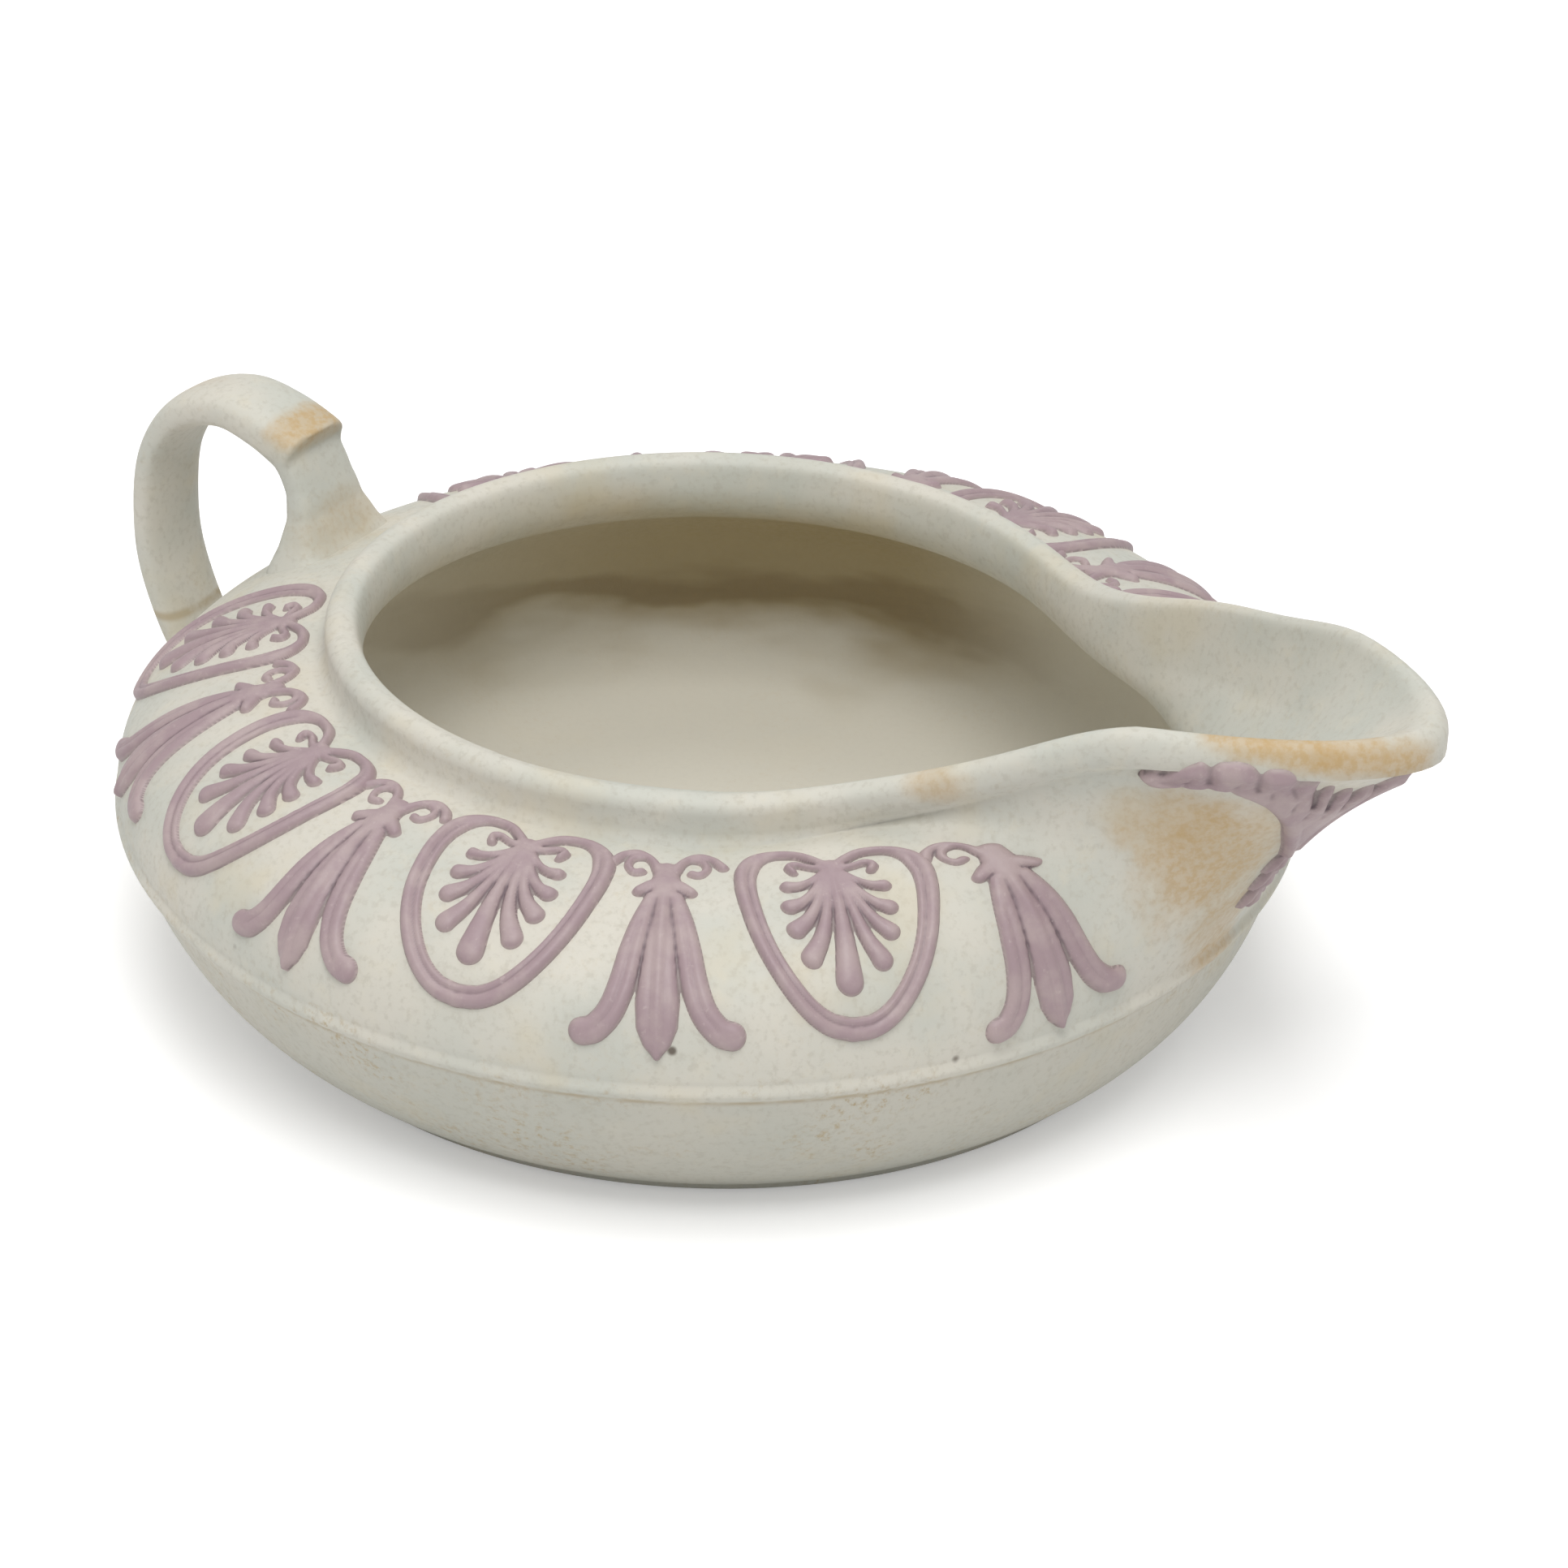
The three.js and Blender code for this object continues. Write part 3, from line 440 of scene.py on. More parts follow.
# The palmette's lobes from the middle one outwards, and its volute: middle line and half-widths
LOBES = [
    ([(0, 4.4), (0, 9), (0, 13), (0, 16.1)], (0.4, 0.56, 0.92, 1.28)),
    ([(0.4, 4.6), (0.98, 8.6), (1.95, 12.0), (3.2, 14.2)], (0.3, 0.44, 0.7, 0.98)),
    ([(0.55, 4.6), (1.5, 7.7), (2.75, 10.1), (4.2, 11.5)], (0.28, 0.4, 0.62, 0.88)),
    ([(0.65, 4.6), (1.85, 6.9), (3.1, 8.4), (4.4, 9.0)], (0.28, 0.38, 0.56, 0.78)),
    ([(0.75, 4.4), (1.95, 5.7), (3.1, 6.4), (4.2, 6.5)], (0.28, 0.36, 0.46, 0.64)),
    ([(0.5, 4.0), (1.7, 3.75), (2.9, 3.3), (3.6, 3.7), (3.3, 4.4)], (0.45, 0.38, 0.38, 0.42)),
]
MIDDLE_LOBE_HEIGHTS = (0.7, 0.82, 0.95, 1.0)
SIDE_LOBE_HEIGHTS = (0.62, 0.72, 0.84, 0.88)
KNOB = ([(0, 3.3), (0, 5.0)], (0.6, 0.9), 0.75)


def inset(points, distance):
    """A smooth curve moved inwards from the frame's outline."""
    line = curve_through(points, OUTLINE_POINTS)
    along = np.gradient(line, axis=0)
    along /= np.linalg.norm(along, axis=1, keepdims=True)
    return line + np.stack((-along[:, 1], along[:, 0]), -1) * distance[:, None]


def palmette_height(x, y):
    """A palmette that hangs in an oval frame with two humps at its top."""
    height = np.full(x.shape, NO_RELIEF)
    parted = smoothstep(np.linspace(0, 1, OUTLINE_POINTS), *FRAME_PARTS)
    for (inset_top, inset_low), (thin, wide), (flat, tall) in FRAME_RIDGES:
        line = inset(FRAME_OUTLINE, inset_top + (inset_low - inset_top) * parted)
        distance, along = nearest_on(line, np.abs(x), y)
        grown = smoothstep(along, *FRAME_PARTS)
        height = np.maximum(height, domed(distance, thin + (wide - thin) * grown,
                                          flat + (tall - flat) * grown, FRAME_FULLNESS, FRAME_STEEPNESS))
    for number, (path, widths) in enumerate(LOBES):
        heights = SIDE_LOBE_HEIGHTS if number else MIDDLE_LOBE_HEIGHTS
        for side in (1, -1) if number else (1,):
            lobe = ridge(x, y, mirrored(path, side), widths, heights, ROUND)
            height = np.maximum(height, lobe)
    return np.maximum(height, ridge(x, y, *KNOB))


# The bellflower's middle petal: its half-widths at shares of its length, and the ribs down it
PETAL_LINE = [(0, 7.6), (0, 23.1)]
PETAL_SHARES = (0, 0.1, 0.3, 0.52, 0.7, 0.84, 0.94, 1)
PETAL_WIDTHS = (0.5, 0.75, 1.2, 1.6, 1.9, 1.78, 1.1, 0.2)
PETAL_HEIGHT = 0.98
PETAL_FULLNESS = 2.8
RIB_HEIGHT = 0.2
RIB_HALF_WIDTH = 0.26
GROOVE_AT = 0.64                  # a groove runs this far to each side of the rib
GROOVE_HALF_WIDTH = 0.22
GROOVE_SHARE = 0.8                # its depth as a share of the rib's height
# Its other parts, drawn on one side of its middle: middle line, half-widths and heights
SIDE_PETAL = ([(1.1, 8.2), (1.85, 11), (2.5, 14), (3.15, 17), (4.05, 19.3), (5.35, 20.8), (6.5, 21.2)],
              (0.66, 0.9, 1.08, 1.16, 1.16, 1.16, 1.16), (0.78, 0.84, 0.86, 0.86, 0.9, 1.0, 1.0))
PETAL_FOLD = (SIDE_PETAL[0][1:6], (0.16, 0.2, 0.22, 0.2, 0.14), 0.24)
LEAFLET = ([(0.3, 6.2), (1.4, 6.8), (2.3, 7.4)], (0.85, 0.72, 0.55), 0.82)
CALYX = ([(0, 4.3), (0, 6.0), (0, 7.6)], (1.0, 1.35, 1.25), (0.7, 0.9, 0.95))
LINK = ([(0.7, 4.7), (1.35, 3.1), (2.6, 2.15), (3.9, 2.55), (4.85, 3.7)], (0.5, 0.44, 0.42, 0.42, 0.5), 0.7)
CURL = ([(2.1, 2.6), (3.1, 3.0), (3.45, 4.0), (2.9, 4.9), (2.2, 4.7)], (0.36, 0.34, 0.36, 0.4, 0.44), 0.58)


def bellflower_height(x, y, links):
    """A bellflower: a ribbed middle petal, two that curl outwards, a calyx and the scrolls that link it."""

    def stroke(part, side):
        """One part of the flower, on the side where it is drawn or on the other."""
        points, widths, heights = part
        return ridge(x, y, mirrored(points, side), widths, heights)

    distance, along = nearest_on(curve_through(PETAL_LINE), x, y)
    height = domed(distance, np.interp(along, PETAL_SHARES, PETAL_WIDTHS), PETAL_HEIGHT, PETAL_FULLNESS)
    groove = GROOVE_SHARE * np.exp(-((np.abs(x) - GROOVE_AT) / GROOVE_HALF_WIDTH) ** 2)
    ribs = RIB_HEIGHT * (np.exp(-(x / RIB_HALF_WIDTH) ** 2) - groove)
    height = np.where(height > 0, height + ribs * smoothstep(along, 0.02, 0.2), height)
    for side in (1, -1):
        height = np.maximum(height, stroke(SIDE_PETAL, side))
        height -= np.maximum(stroke(PETAL_FOLD, side), 0)
        height = np.maximum(height, stroke(LEAFLET, side))
    height = np.maximum(height, stroke(CALYX, 1))
    for side in links:
        height = np.maximum(height, stroke(LINK, side))
        height = np.maximum(height, stroke(CURL, side))
    return height


# The leaf under the spout, one half: its upper edge, its lower edge and the notches between its lobes
LEAF_UPPER = [(0, 0.5), (1, 1.5), (3, 2.5), (5, 2.3), (6.7, 1.5), (8.4, 0.3), (9.9, -0.6), (10.6, -1.3),
              (12, -2.0), (15, -2.5), (17.2, -2.4), (18.6, -1.2), (19.4, 1.0)]
LEAF_LOWER = [(0, 17.4), (1.0, 16.8), (2.5, 14.6), (4.5, 11.6), (6.0, 9.0), (8.0, 6.4), (10.0, 4.1),
              (12.0, 2.5), (14.4, 1.2), (16.8, 1.4), (18.4, 2.0), (19.4, 1.0)]
LEAF_NOTCHES = [0.0, 2.0, 3.9, 5.8, 7.7, 10.3, 13.3, 16.5, 19.4]
SCALLOP = 0.35                    # how far the upper edge swells between two notches
BLADE_HEIGHT = 0.85
# The rolled rib along its lower edge and the rib down its middle
EDGE_RIB = ([(x, y - 0.9) for x, y in LEAF_LOWER[1:]],
            (0.7, 0.8, 0.9, 0.9, 0.9, 0.9, 0.9, 0.8, 0.7), 1.1, ROUND)
MIDRIB = ([(0, 15), (0, 8), (0, 2)], (0.8, 1.0, 0.8), 1.1)
# Notches further out than the arm's start are shorter and shallower: share of depth, and run down the leaf
ARM_START = 9
BLADE_NOTCH = (0.85, 3.8)
ARM_NOTCH = (0.4, 3.0)
# The husks below the leaf: where each starts and its half-width
HUSKS = [(16.6, 0.95), (19.4, 1.25), (22.2, 1.1)]


def leaf_height(x, y):
    """Leaf under the spout: a toothed blade to the lip, a scalloped arm to each side, husks down the keel."""
    wide = np.abs(x)
    lobe = np.interp(wide, LEAF_NOTCHES, range(len(LEAF_NOTCHES)))
    upper = np.interp(wide, *zip(*LEAF_UPPER)) - SCALLOP * np.abs(np.sin(math.pi * lobe)) ** 0.7
    lower = np.interp(wide, *zip(*LEAF_LOWER))
    inside = np.minimum(y - upper, (lower - y) * 0.7)
    height = np.where(inside > 0, BLADE_HEIGHT * np.clip(inside, 0, 1) ** 0.5, inside)
    height = np.maximum(height, ridge(wide, y, *EDGE_RIB))
    for notch in LEAF_NOTCHES[1:-1]:
        top = np.interp(notch, *zip(*LEAF_UPPER))
        depth, run = ARM_NOTCH if notch > ARM_START else BLADE_NOTCH
        groove = ridge(wide, y, [(notch + 0.5, top - 1.2), (notch, top + 0.8), (notch - 1.3, top + run)],
                       (0.5, 0.42, 0.24), (1.2, 1.1, 0.7), ROUND)
        vein = ridge(wide, y, [(notch + 1.0, top + 0.2), (notch + 0.3, top + run + 0.6)],
                     (0.16, 0.24), 0.2, ROUND)
        height -= depth * np.maximum(groove, 0) + np.maximum(vein, 0)
    height = np.maximum(height, ridge(wide, y, *MIDRIB))
    for top, half in HUSKS:
        middle = [(0, top), (0, top + 1.6), (0, top + 3.0)]
        leaflet = [(0.5, top + 0.2), (1.5, top + 1.1), (2.1, top + 2.3)]
        height = np.maximum(height, ridge(wide, y, middle, (0.5, half, 0.3), (0.8, 1.1, 0.75)))
        height = np.maximum(height, ridge(wide, y, leaflet, (0.5, 0.6, 0.3), (0.7, 0.9, 0.6)))
    return height


# Half-width, top and bottom of the field in which each kind of relief is drawn
PALMETTE_FIELD = (9.6, 0.2, 21.8)
BELLFLOWER_FIELD = (8.4, 1.2, 23.8)
LEAF_FIELD = (20, -4.4, 26.2)


def flat_relief(name, field, drawing, tallness):
    """A closed solid of relief, still flat: x across, y down from its top, z out of the body."""
    width, top, bottom = field
    bm = bmesh.new()
    columns = int(2 * width / RELIEF_CELL)
    rows = int((bottom - top) / RELIEF_CELL)
    bmesh.ops.create_grid(bm, x_segments=columns, y_segments=rows, size=1)
    bmesh.ops.scale(bm, verts=bm.verts, vec=(width, (bottom - top) / 2, 1))
    bmesh.ops.translate(bm, verts=bm.verts, vec=(0, (bottom + top) / 2, 0))
    bm.verts.ensure_lookup_table()
    place = np.array([vert.co[:2] for vert in bm.verts])
    grid = place.reshape(rows + 1, columns + 1, 2)
    height = softened(np.clip(drawing(grid[..., 0], grid[..., 1]), DEEPEST, None), 1)
    # painted shade: how deep each place lies in a hollow is stored, to darken the relief's colour there
    evened = softened(np.maximum(height, 0), HOLLOW_ROUNDS)
    hollow = np.clip((evened - height) / HOLLOW_SHADE_DEPTH, 0, 1) * (height > -0.1)
    hollow_shade_layer = bm.verts.layers.float.new("hollow")
    rise_layer = bm.verts.layers.float.new("rise")
    for vert, z, dark in zip(bm.verts, height.ravel(), hollow.ravel()):
        vert.co.z = z * tallness
        vert[hollow_shade_layer] = dark
        vert[rise_layer] = z
    spare = [face for face in bm.faces if max(vert.co.z for vert in face.verts) < TRIMMED]
    bmesh.ops.delete(bm, geom=spare, context="FACES")
    bmesh.ops.smooth_vert(bm, verts=bm.verts, factor=0.3, use_axis_x=True, use_axis_y=True, use_axis_z=True)
    under = list(bm.verts)
    bmesh.ops.extrude_face_region(bm, geom=bm.faces[:], use_keep_orig=True)
    for vert in under:
        vert.co.z = -BEDDING
    bmesh.ops.recalc_face_normals(bm, faces=bm.faces)
    return made_mesh(name, bm)


def laid_on_shoulder(points, angle, lean, drop, width):
    """Points of flat relief laid on the shoulder round an angle from the spout."""
    x, y, z = points.T
    x = x * width
    y = y - SPRIG_MIDDLE
    x, y = (x * math.cos(lean) - y * math.sin(lean),
            y * math.cos(lean) + x * math.sin(lean) + SPRIG_MIDDLE + drop)
    turn = angle - x / shoulder_level(share_below_neck(np.maximum(y, 0)))[..., RADIUS]
    sink = SPRIG_SINK * (1 - smoothstep(np.abs(turn), SINK_START, SINK_END))
    share = share_below_neck(y + sink * (1 - y / SINK_REACH))
    return body_point(shoulder_level(share), turn) + shoulder_normal(share, turn) * z[:, None]


def level_under_spout(y):
    """Levels down the outside of the spout: 0 at the foot of the neck, less up the neck and the lip."""
    half = LIP_THICKNESS / 2
    levels = shoulder_level(np.clip(1 - y / KEEL_LENGTH, 0, 1))
    levels += (lip_level(half, -half) - levels) * np.clip(-y / NECK_RUN, 0, 1)[:, None]
    levels[:, (HEIGHT, TIP_HEIGHT)] += np.maximum(-y - NECK_RUN, 0)[:, None]
    return levels


def laid_under_spout(points, step=1.0):
    """Points of flat relief laid on the underside of the spout, bridging the hollow of the neck."""
    x, y, z = points.T
    turn = -x / SPOUT_REACH
    aside = step / SPOUT_REACH
    above, here, below = (body_point(level_under_spout(y + down), turn) for down in (-step, 0, step))
    along = body_point(level_under_spout(y), turn + aside) - body_point(level_under_spout(y), turn - aside)
    normal = np.cross(below - above, along)
    normal /= np.linalg.norm(normal, axis=1, keepdims=True)
    return (above + below + 2 * here) / 4 + normal * z[:, None]


# Handle

def superellipse(sides, squareness):
    """Points of a rounded oblong, from -1 to 1."""
    turn = np.arange(sides) / sides * 2 * math.pi
    power = 2 / squareness
    return np.stack((np.sign(np.cos(turn)) * np.abs(np.cos(turn)) ** power,
                     np.sign(np.sin(turn)) * np.abs(np.sin(turn)) ** power), -1)


def pulled_strap(bm, points, widths, thicknesses, squareness):
    """A strap of clay: a ring that is extruded along a curve in the plane of symmetry."""
    line = curve_through(points, STRAP_STEPS)
    along = np.gradient(line, axis=0)
    along /= np.linalg.norm(along, axis=1, keepdims=True)
    stops = np.linspace(0, 1, len(line))
    width = np.interp(stops, *zip(*widths))
    thickness = np.interp(stops, *zip(*thicknesses))
    section = superellipse(STRAP_SIDES, squareness)
    made = bmesh.ops.create_circle(bm, cap_ends=True, segments=len(section), radius=1)["verts"]
    ring = sorted(made, key=lambda vert: math.atan2(vert.co.y, vert.co.x) % (2 * math.pi))
    cap = next(face for face in bm.faces if set(face.verts) == set(ring))

    def place(verts, i):
        for vert, (side, out) in zip(verts, section):
            lift = out * thickness[i] / 2
            vert.co = (line[i][0] - along[i][1] * lift, side * width[i] / 2, line[i][1] + along[i][0] * lift)

    place(ring, 0)
    for i in range(1, len(line)):
        grown = bmesh.ops.extrude_face_region(bm, geom=[cap], use_keep_orig=(i == 1))["geom"]
        fresh = [item for item in grown if isinstance(item, bmesh.types.BMVert)]
        cap = next(item for item in grown if isinstance(item, bmesh.types.BMFace))
        ordered = [min(fresh, key=lambda vert, at=old.co: (vert.co - at).length) for old in ring]
        place(ordered, i)
        ring = ordered


# The loop from its root below the crease over its top to the thumb rest, and the strut from there down to
# the shoulder, in the plane of symmetry. Widths and thicknesses stand at shares of each strap's length.
LOOP = [(-52.0, 11.0), (-60.97, 11.0), (-65.1, 14.1), (-68.3, 21.2), (-69.05, 27.38), (-68.1, 34.48),
        (-64.56, 39.74), (-59.1, 41.9), (-53.96, 41.2), (-49.2, 39.3)]
LOOP_WIDTHS = [(0, 12.6), (0.055, 11.4), (0.1, 9.8), (0.2, 8.9), (0.8, 8.9), (0.97, 9.2), (1, 9.0)]
LOOP_THICKNESSES = [(0, 5.2), (0.055, 4.5), (0.1, 3.7), (0.2, 3.3), (0.55, 3.3), (0.8, 4.2), (1, 5.2)]
LOOP_SQUARENESS = 2.7
STRUT = [(-50.55, 39.3), (-49.2, 37.2), (-48.2, 34.25), (-47.2, 28.2)]
STRUT_WIDTHS = [(0, 8.8), (0.5, 9.0), (0.72, 10.0), (0.86, 12.5), (1, 16)]
STRUT_THICKNESSES = [(0, 2.7), (0.5, 2.8), (0.72, 3.5), (0.86, 5.4), (1, 8.5)]
STRUT_SQUARENESS = 3.4
LUTING_CELL = 0.32                # size of the cells in which the straps are joined
SPONGE_SHARE = 0.5
SPONGE_ROUNDS = 7


def handle_mesh():
    """Loop, thumb rest and strut, laid into each other where they will be luted together."""
    bm = bmesh.new()
    pulled_strap(bm, LOOP, LOOP_WIDTHS, LOOP_THICKNESSES, LOOP_SQUARENESS)
    pulled_strap(bm, STRUT, STRUT_WIDTHS, STRUT_THICKNESSES, STRUT_SQUARENESS)
    bmesh.ops.recalc_face_normals(bm, faces=bm.faces)
    bmesh.ops.scale(bm, verts=bm.verts, vec=(MM, MM, MM))
    return made_mesh("strap_handle", bm)


# Finishes

def linear(hex_colour):
    """An sRGB hex colour as Blender's linear red, green, blue, alpha."""
    parts = [int(hex_colour[i:i + 2], 16) / 255 for i in (1, 3, 5)]
    return tuple(c / 12.92 if c <= 0.04045 else ((c + 0.055) / 1.055) ** 2.4 for c in parts) + (1.0,)


def opaque(colour):
    """A linear colour of three parts with its alpha."""
    return tuple(colour) + (1.0,)


def add(tree, kind, settings=None, **links):
    """Adds a node with its settings. A link or value goes to the input of its name, or number after an i."""
    node = tree.nodes.new(kind)
    for name, value in (settings or {}).items():
        setattr(node, name, value)
    for key, value in links.items():
        numbered = key[0] == "i" and key[1:].isdigit()
        socket = node.inputs[int(key[1:]) if numbered else key.replace("_", " ")]
        if isinstance(value, bpy.types.NodeSocket):
            tree.links.new(value, socket)
        else:
            socket.default_value = value
    return node


def new_material(name):
    """An empty material and its node tree."""
    material = bpy.data.materials.new(name)
    material.use_nodes = True
    material.node_tree.nodes.clear()
    return material, material.node_tree


def per_mm(size):
    """Texture scale that gives features of a size in millimetres."""
    return 1.0 / (size * MM)


def noise(tree, where, size, detail=2.0, roughness=0.5):
    """Clouded noise whose features have a size in millimetres."""
    node = add(tree, "ShaderNodeTexNoise", None, Vector=where, Scale=per_mm(size), Detail=detail,
               Roughness=roughness)
    return node.outputs["Fac"]


def ramped(tree, value, low, high, start=0.0, end=1.0):
    """A value between low and high stretched to start and end."""
    node = add(tree, "ShaderNodeMapRange", {"interpolation_type": "SMOOTHSTEP"}, Value=value)
    for name, number in (("From Min", low), ("From Max", high), ("To Min", start), ("To Max", end)):
        node.inputs[name].default_value = number
    return node.outputs["Result"]


def maths(tree, operation, a, b=0.0):
    """One value worked out from two."""
    return add(tree, "ShaderNodeMath", {"operation": operation}, i0=a, i1=b).outputs[0]


def product(tree, *values):
    """Values multiplied with each other."""
    result = values[0]
    for value in values[1:]:
        result = maths(tree, "MULTIPLY", result, value)
    return result


def blended(tree, amount, below, above):
    """One colour laid over another by an amount."""
    node = add(tree, "ShaderNodeMix", {"data_type": "RGBA"}, i0=amount, i6=below, i7=above)
    return node.outputs[2]


def patch(tree, where, centre, size, edge):
    """A soft patch round a place on the jug, in millimetres, with a ragged edge."""
    moved = add(tree, "ShaderNodeMapping", {"vector_type": "TEXTURE"}, Vector=where)
    moved.inputs["Location"].default_value = [c * MM for c in centre]
    moved.inputs["Scale"].default_value = [s * MM for s in size]
    length = add(tree, "ShaderNodeVectorMath", {"operation": "LENGTH"}, i0=moved.outputs[0]).outputs["Value"]
    return ramped(tree, maths(tree, "ADD", length, edge), 1.45, 0.75)


def surfaced(tree, colour, rough, bumps, strength, depth):
    """Closes a finish with its colour, roughness and the bumps of its grain, their depth in millimetres."""
    bump = add(tree, "ShaderNodeBump", None, Height=bumps, Strength=strength, Distance=depth * MM)
    shader = add(tree, "ShaderNodeBsdfPrincipled", None, Base_Color=colour, Roughness=rough,
                 Normal=bump.outputs["Normal"], IOR=FIRED_CLAY_IOR)
    add(tree, "ShaderNodeOutputMaterial", None, Surface=shader.outputs["BSDF"])


FIRED_CLAY_IOR = 1.5

# Stains of use, in millimetres: middle, reach and strength
STAINS = [
    ((58, -8, 33), (9, 9, 10), 0.72),
    ((57, -13, 38), (9, 6, 5), 0.45),
    ((57, -3, 24), (8, 7, 6), 0.5),
    ((55, -1, 19), (5, 5, 3), 0.6),
    ((62, -11.5, 47.6), (5.5, 4, 2.6), 0.8),
    ((67, -10, 46.9), (5.5, 4, 2.6), 0.8),
    ((70.5, -7.5, 46.4), (5.5, 4, 2.6), 0.8),
    ((73.5, -4, 45.6), (5, 4, 2.4), 0.8),
    ((37.6, -22, 39.6), (4, 3, 2.4), 0.5),
    ((-50, 0, 41.8), (3.4, 8, 2.2), 0.8),
    ((-62, 0, 41), (7, 3, 3), 0.35),
    ((-47, 0, 32), (5, 8, 4), 0.35),
    ((-30, 40, 22), (10, 8, 6), 0.25),
    ((20, 50, 12), (12, 8, 5), 0.25),
]
IRON_SPECKS = [(47.0, -31.4, 19.4), (28.9, -48.8, 22.5), (12.0, 46.0, 8.5), (-14.0, -56.0, 21.0)]
IRON_SPECK_SIZE = (0.55, 0.55, 0.55)

# What every layer of the stoneware's finish reads
Clay = namedtuple("Clay", "tree where height inside mottle grain")


def below_crease(clay):
    """1 on the wall below the crease, 0 above it."""
    return ramped(clay.tree, clay.height, 19.5 * MM, 14 * MM)


def near_height(clay, height, far, close):
    """1 at a height in millimetres, fading between two distances from it."""
    away = maths(clay.tree, "ABSOLUTE", maths(clay.tree, "SUBTRACT", clay.height, height * MM))
    return ramped(clay.tree, away, far * MM, close * MM)


def fired_clay(clay, bare):
    """Bare clay with the clouds and mottles of the firing, and painted shade that greys the wall below the
    crease.
    """
    tree = clay.tree
    cloud = noise(tree, clay.where, 14, 3.0)
    colour = blended(tree, ramped(tree, cloud, 0.35, 0.68), bare, linear("#C0C1B7"))
    colour = blended(tree, ramped(tree, clay.mottle, 0.5, 0.75, 0, 0.35), colour, linear("#D2CCBA"))
    # painted shade: the wall below the crease is greyed, as it lies in shade under the shoulder
    colour = blended(tree, product(tree, below_crease(clay), 0.55), colour, linear("#BCBAAE"))
    # dirt that has gathered in the crease
    outside = maths(tree, "SUBTRACT", 1.0, clay.inside)
    uneven = ramped(tree, clay.mottle, 0.35, 0.6, 0.25, 0.8)
    crease = product(tree, near_height(clay, 17.1, 0.7, 0.1), outside, uneven)
    colour = blended(tree, crease, colour, linear("#A8987A"))
    return blended(tree, ramped(tree, clay.grain, 0.48, 0.72, 0, 0.3), colour, linear("#A9A394"))


def speckled(clay, colour):
    """Fine ochre specks in the pores, thickest below the crease and along the bead."""
    tree = clay.tree
    specks = ramped(tree, noise(tree, clay.where, 0.8, 3.0, 0.7), 0.5, 0.72)
    crowd = ramped(tree, noise(tree, clay.where, 9), 0.42, 0.7)
    low = product(tree, below_crease(clay), 0.6)
    bead = product(tree, near_height(clay, 17.6, 3.5, 0.6), 0.6)
    thick = maths(tree, "ADD", low, maths(tree, "ADD", bead, 0.16))
    tint = ramped(tree, noise(tree, clay.where, 11, 3.0, 0.6), 0.52, 0.72, 0, 0.3)
    colour = blended(tree, tint, colour, linear("#CBBE9E"))
    return blended(tree, product(tree, specks, crowd, thick), colour, linear("#AE9A74"))


def stained(clay, colour):
    """Ochre stains of long use, on the outside and on the lip."""
    tree = clay.tree
    ragged = product(tree, clay.mottle, 0.8)
    below_lip = product(tree, clay.inside, ramped(tree, clay.height, 44 * MM, 41 * MM))
    outer = maths(tree, "SUBTRACT", 1.0, below_lip)
    broken = ramped(tree, clay.grain, 0.35, 0.65, 0.68, 1.0)
    for centre, size, strength in STAINS:
        spot = product(tree, patch(tree, clay.where, centre, size, ragged), strength, outer, broken)
        colour = blended(tree, spot, colour, linear("#BA9A66"))
    return colour


def inside_stains_and_painted_light(clay, colour):
    """The inside: painted light that whitens its lower part, and a brown stain under the neck where cream
    used to stand, darkened further with painted shade.
    """
    tree = clay.tree
    # painted light: the lower inside is whitened where the lamp falls into the jug
    painted_light_low_inside = product(tree, clay.inside, ramped(tree, clay.height, 29 * MM, 18 * MM, 0, 0.8))
    colour = blended(tree, painted_light_low_inside, colour, linear("#E0DCCF"))
    streaks = add(tree, "ShaderNodeMapping", None, Vector=clay.where)
    streaks.inputs["Scale"].default_value = (1, 1, 3.5)
    wander = maths(tree, "SUBTRACT", noise(tree, streaks.outputs[0], 22, 3.0), 0.5)
    depth = maths(tree, "ADD", clay.height, product(tree, wander, 12 * MM))
    # brown stain with painted shade: this brown is strongest on the far wall, which lies in shade under the
    # neck, and is gone at the throat
    back = add(tree, "ShaderNodeVectorMath", {"operation": "DOT_PRODUCT"}, i0=clay.where, i1=(-0.2, 0.98, 0))
    along = add(tree, "ShaderNodeSeparateXYZ", None, Vector=clay.where).outputs["X"]
    far = product(tree, ramped(tree, back.outputs["Value"], 10 * MM, 48 * MM, 0.25, 1.0),
                  ramped(tree, along, 14 * MM, -12 * MM, 0.08, 1.0), clay.inside)
    brown_stain_and_painted_shade = product(tree, ramped(tree, depth, 7.5 * MM, 13.5 * MM), ramped(tree, depth, 35.8 * MM, 28.5 * MM))
    colour = blended(tree, product(tree, brown_stain_and_painted_shade, far, 0.8), colour, linear("#9C8856"))
    # a darker ring within it, also stain and painted shade together
    ring = product(tree, ramped(tree, depth, 11.5 * MM, 13.5 * MM), ramped(tree, depth, 17.5 * MM, 15 * MM))
    return blended(tree, product(tree, ring, far, 0.4), colour, linear("#6E5630"))


def iron_specked(clay, colour):
    """A few dark specks of iron that burnt out in the firing."""
    for centre in IRON_SPECKS:
        spot = product(clay.tree, patch(clay.tree, clay.where, centre, IRON_SPECK_SIZE, 0.4), 0.85)
        colour = blended(clay.tree, spot, colour, linear("#4A3A2C"))
    return colour


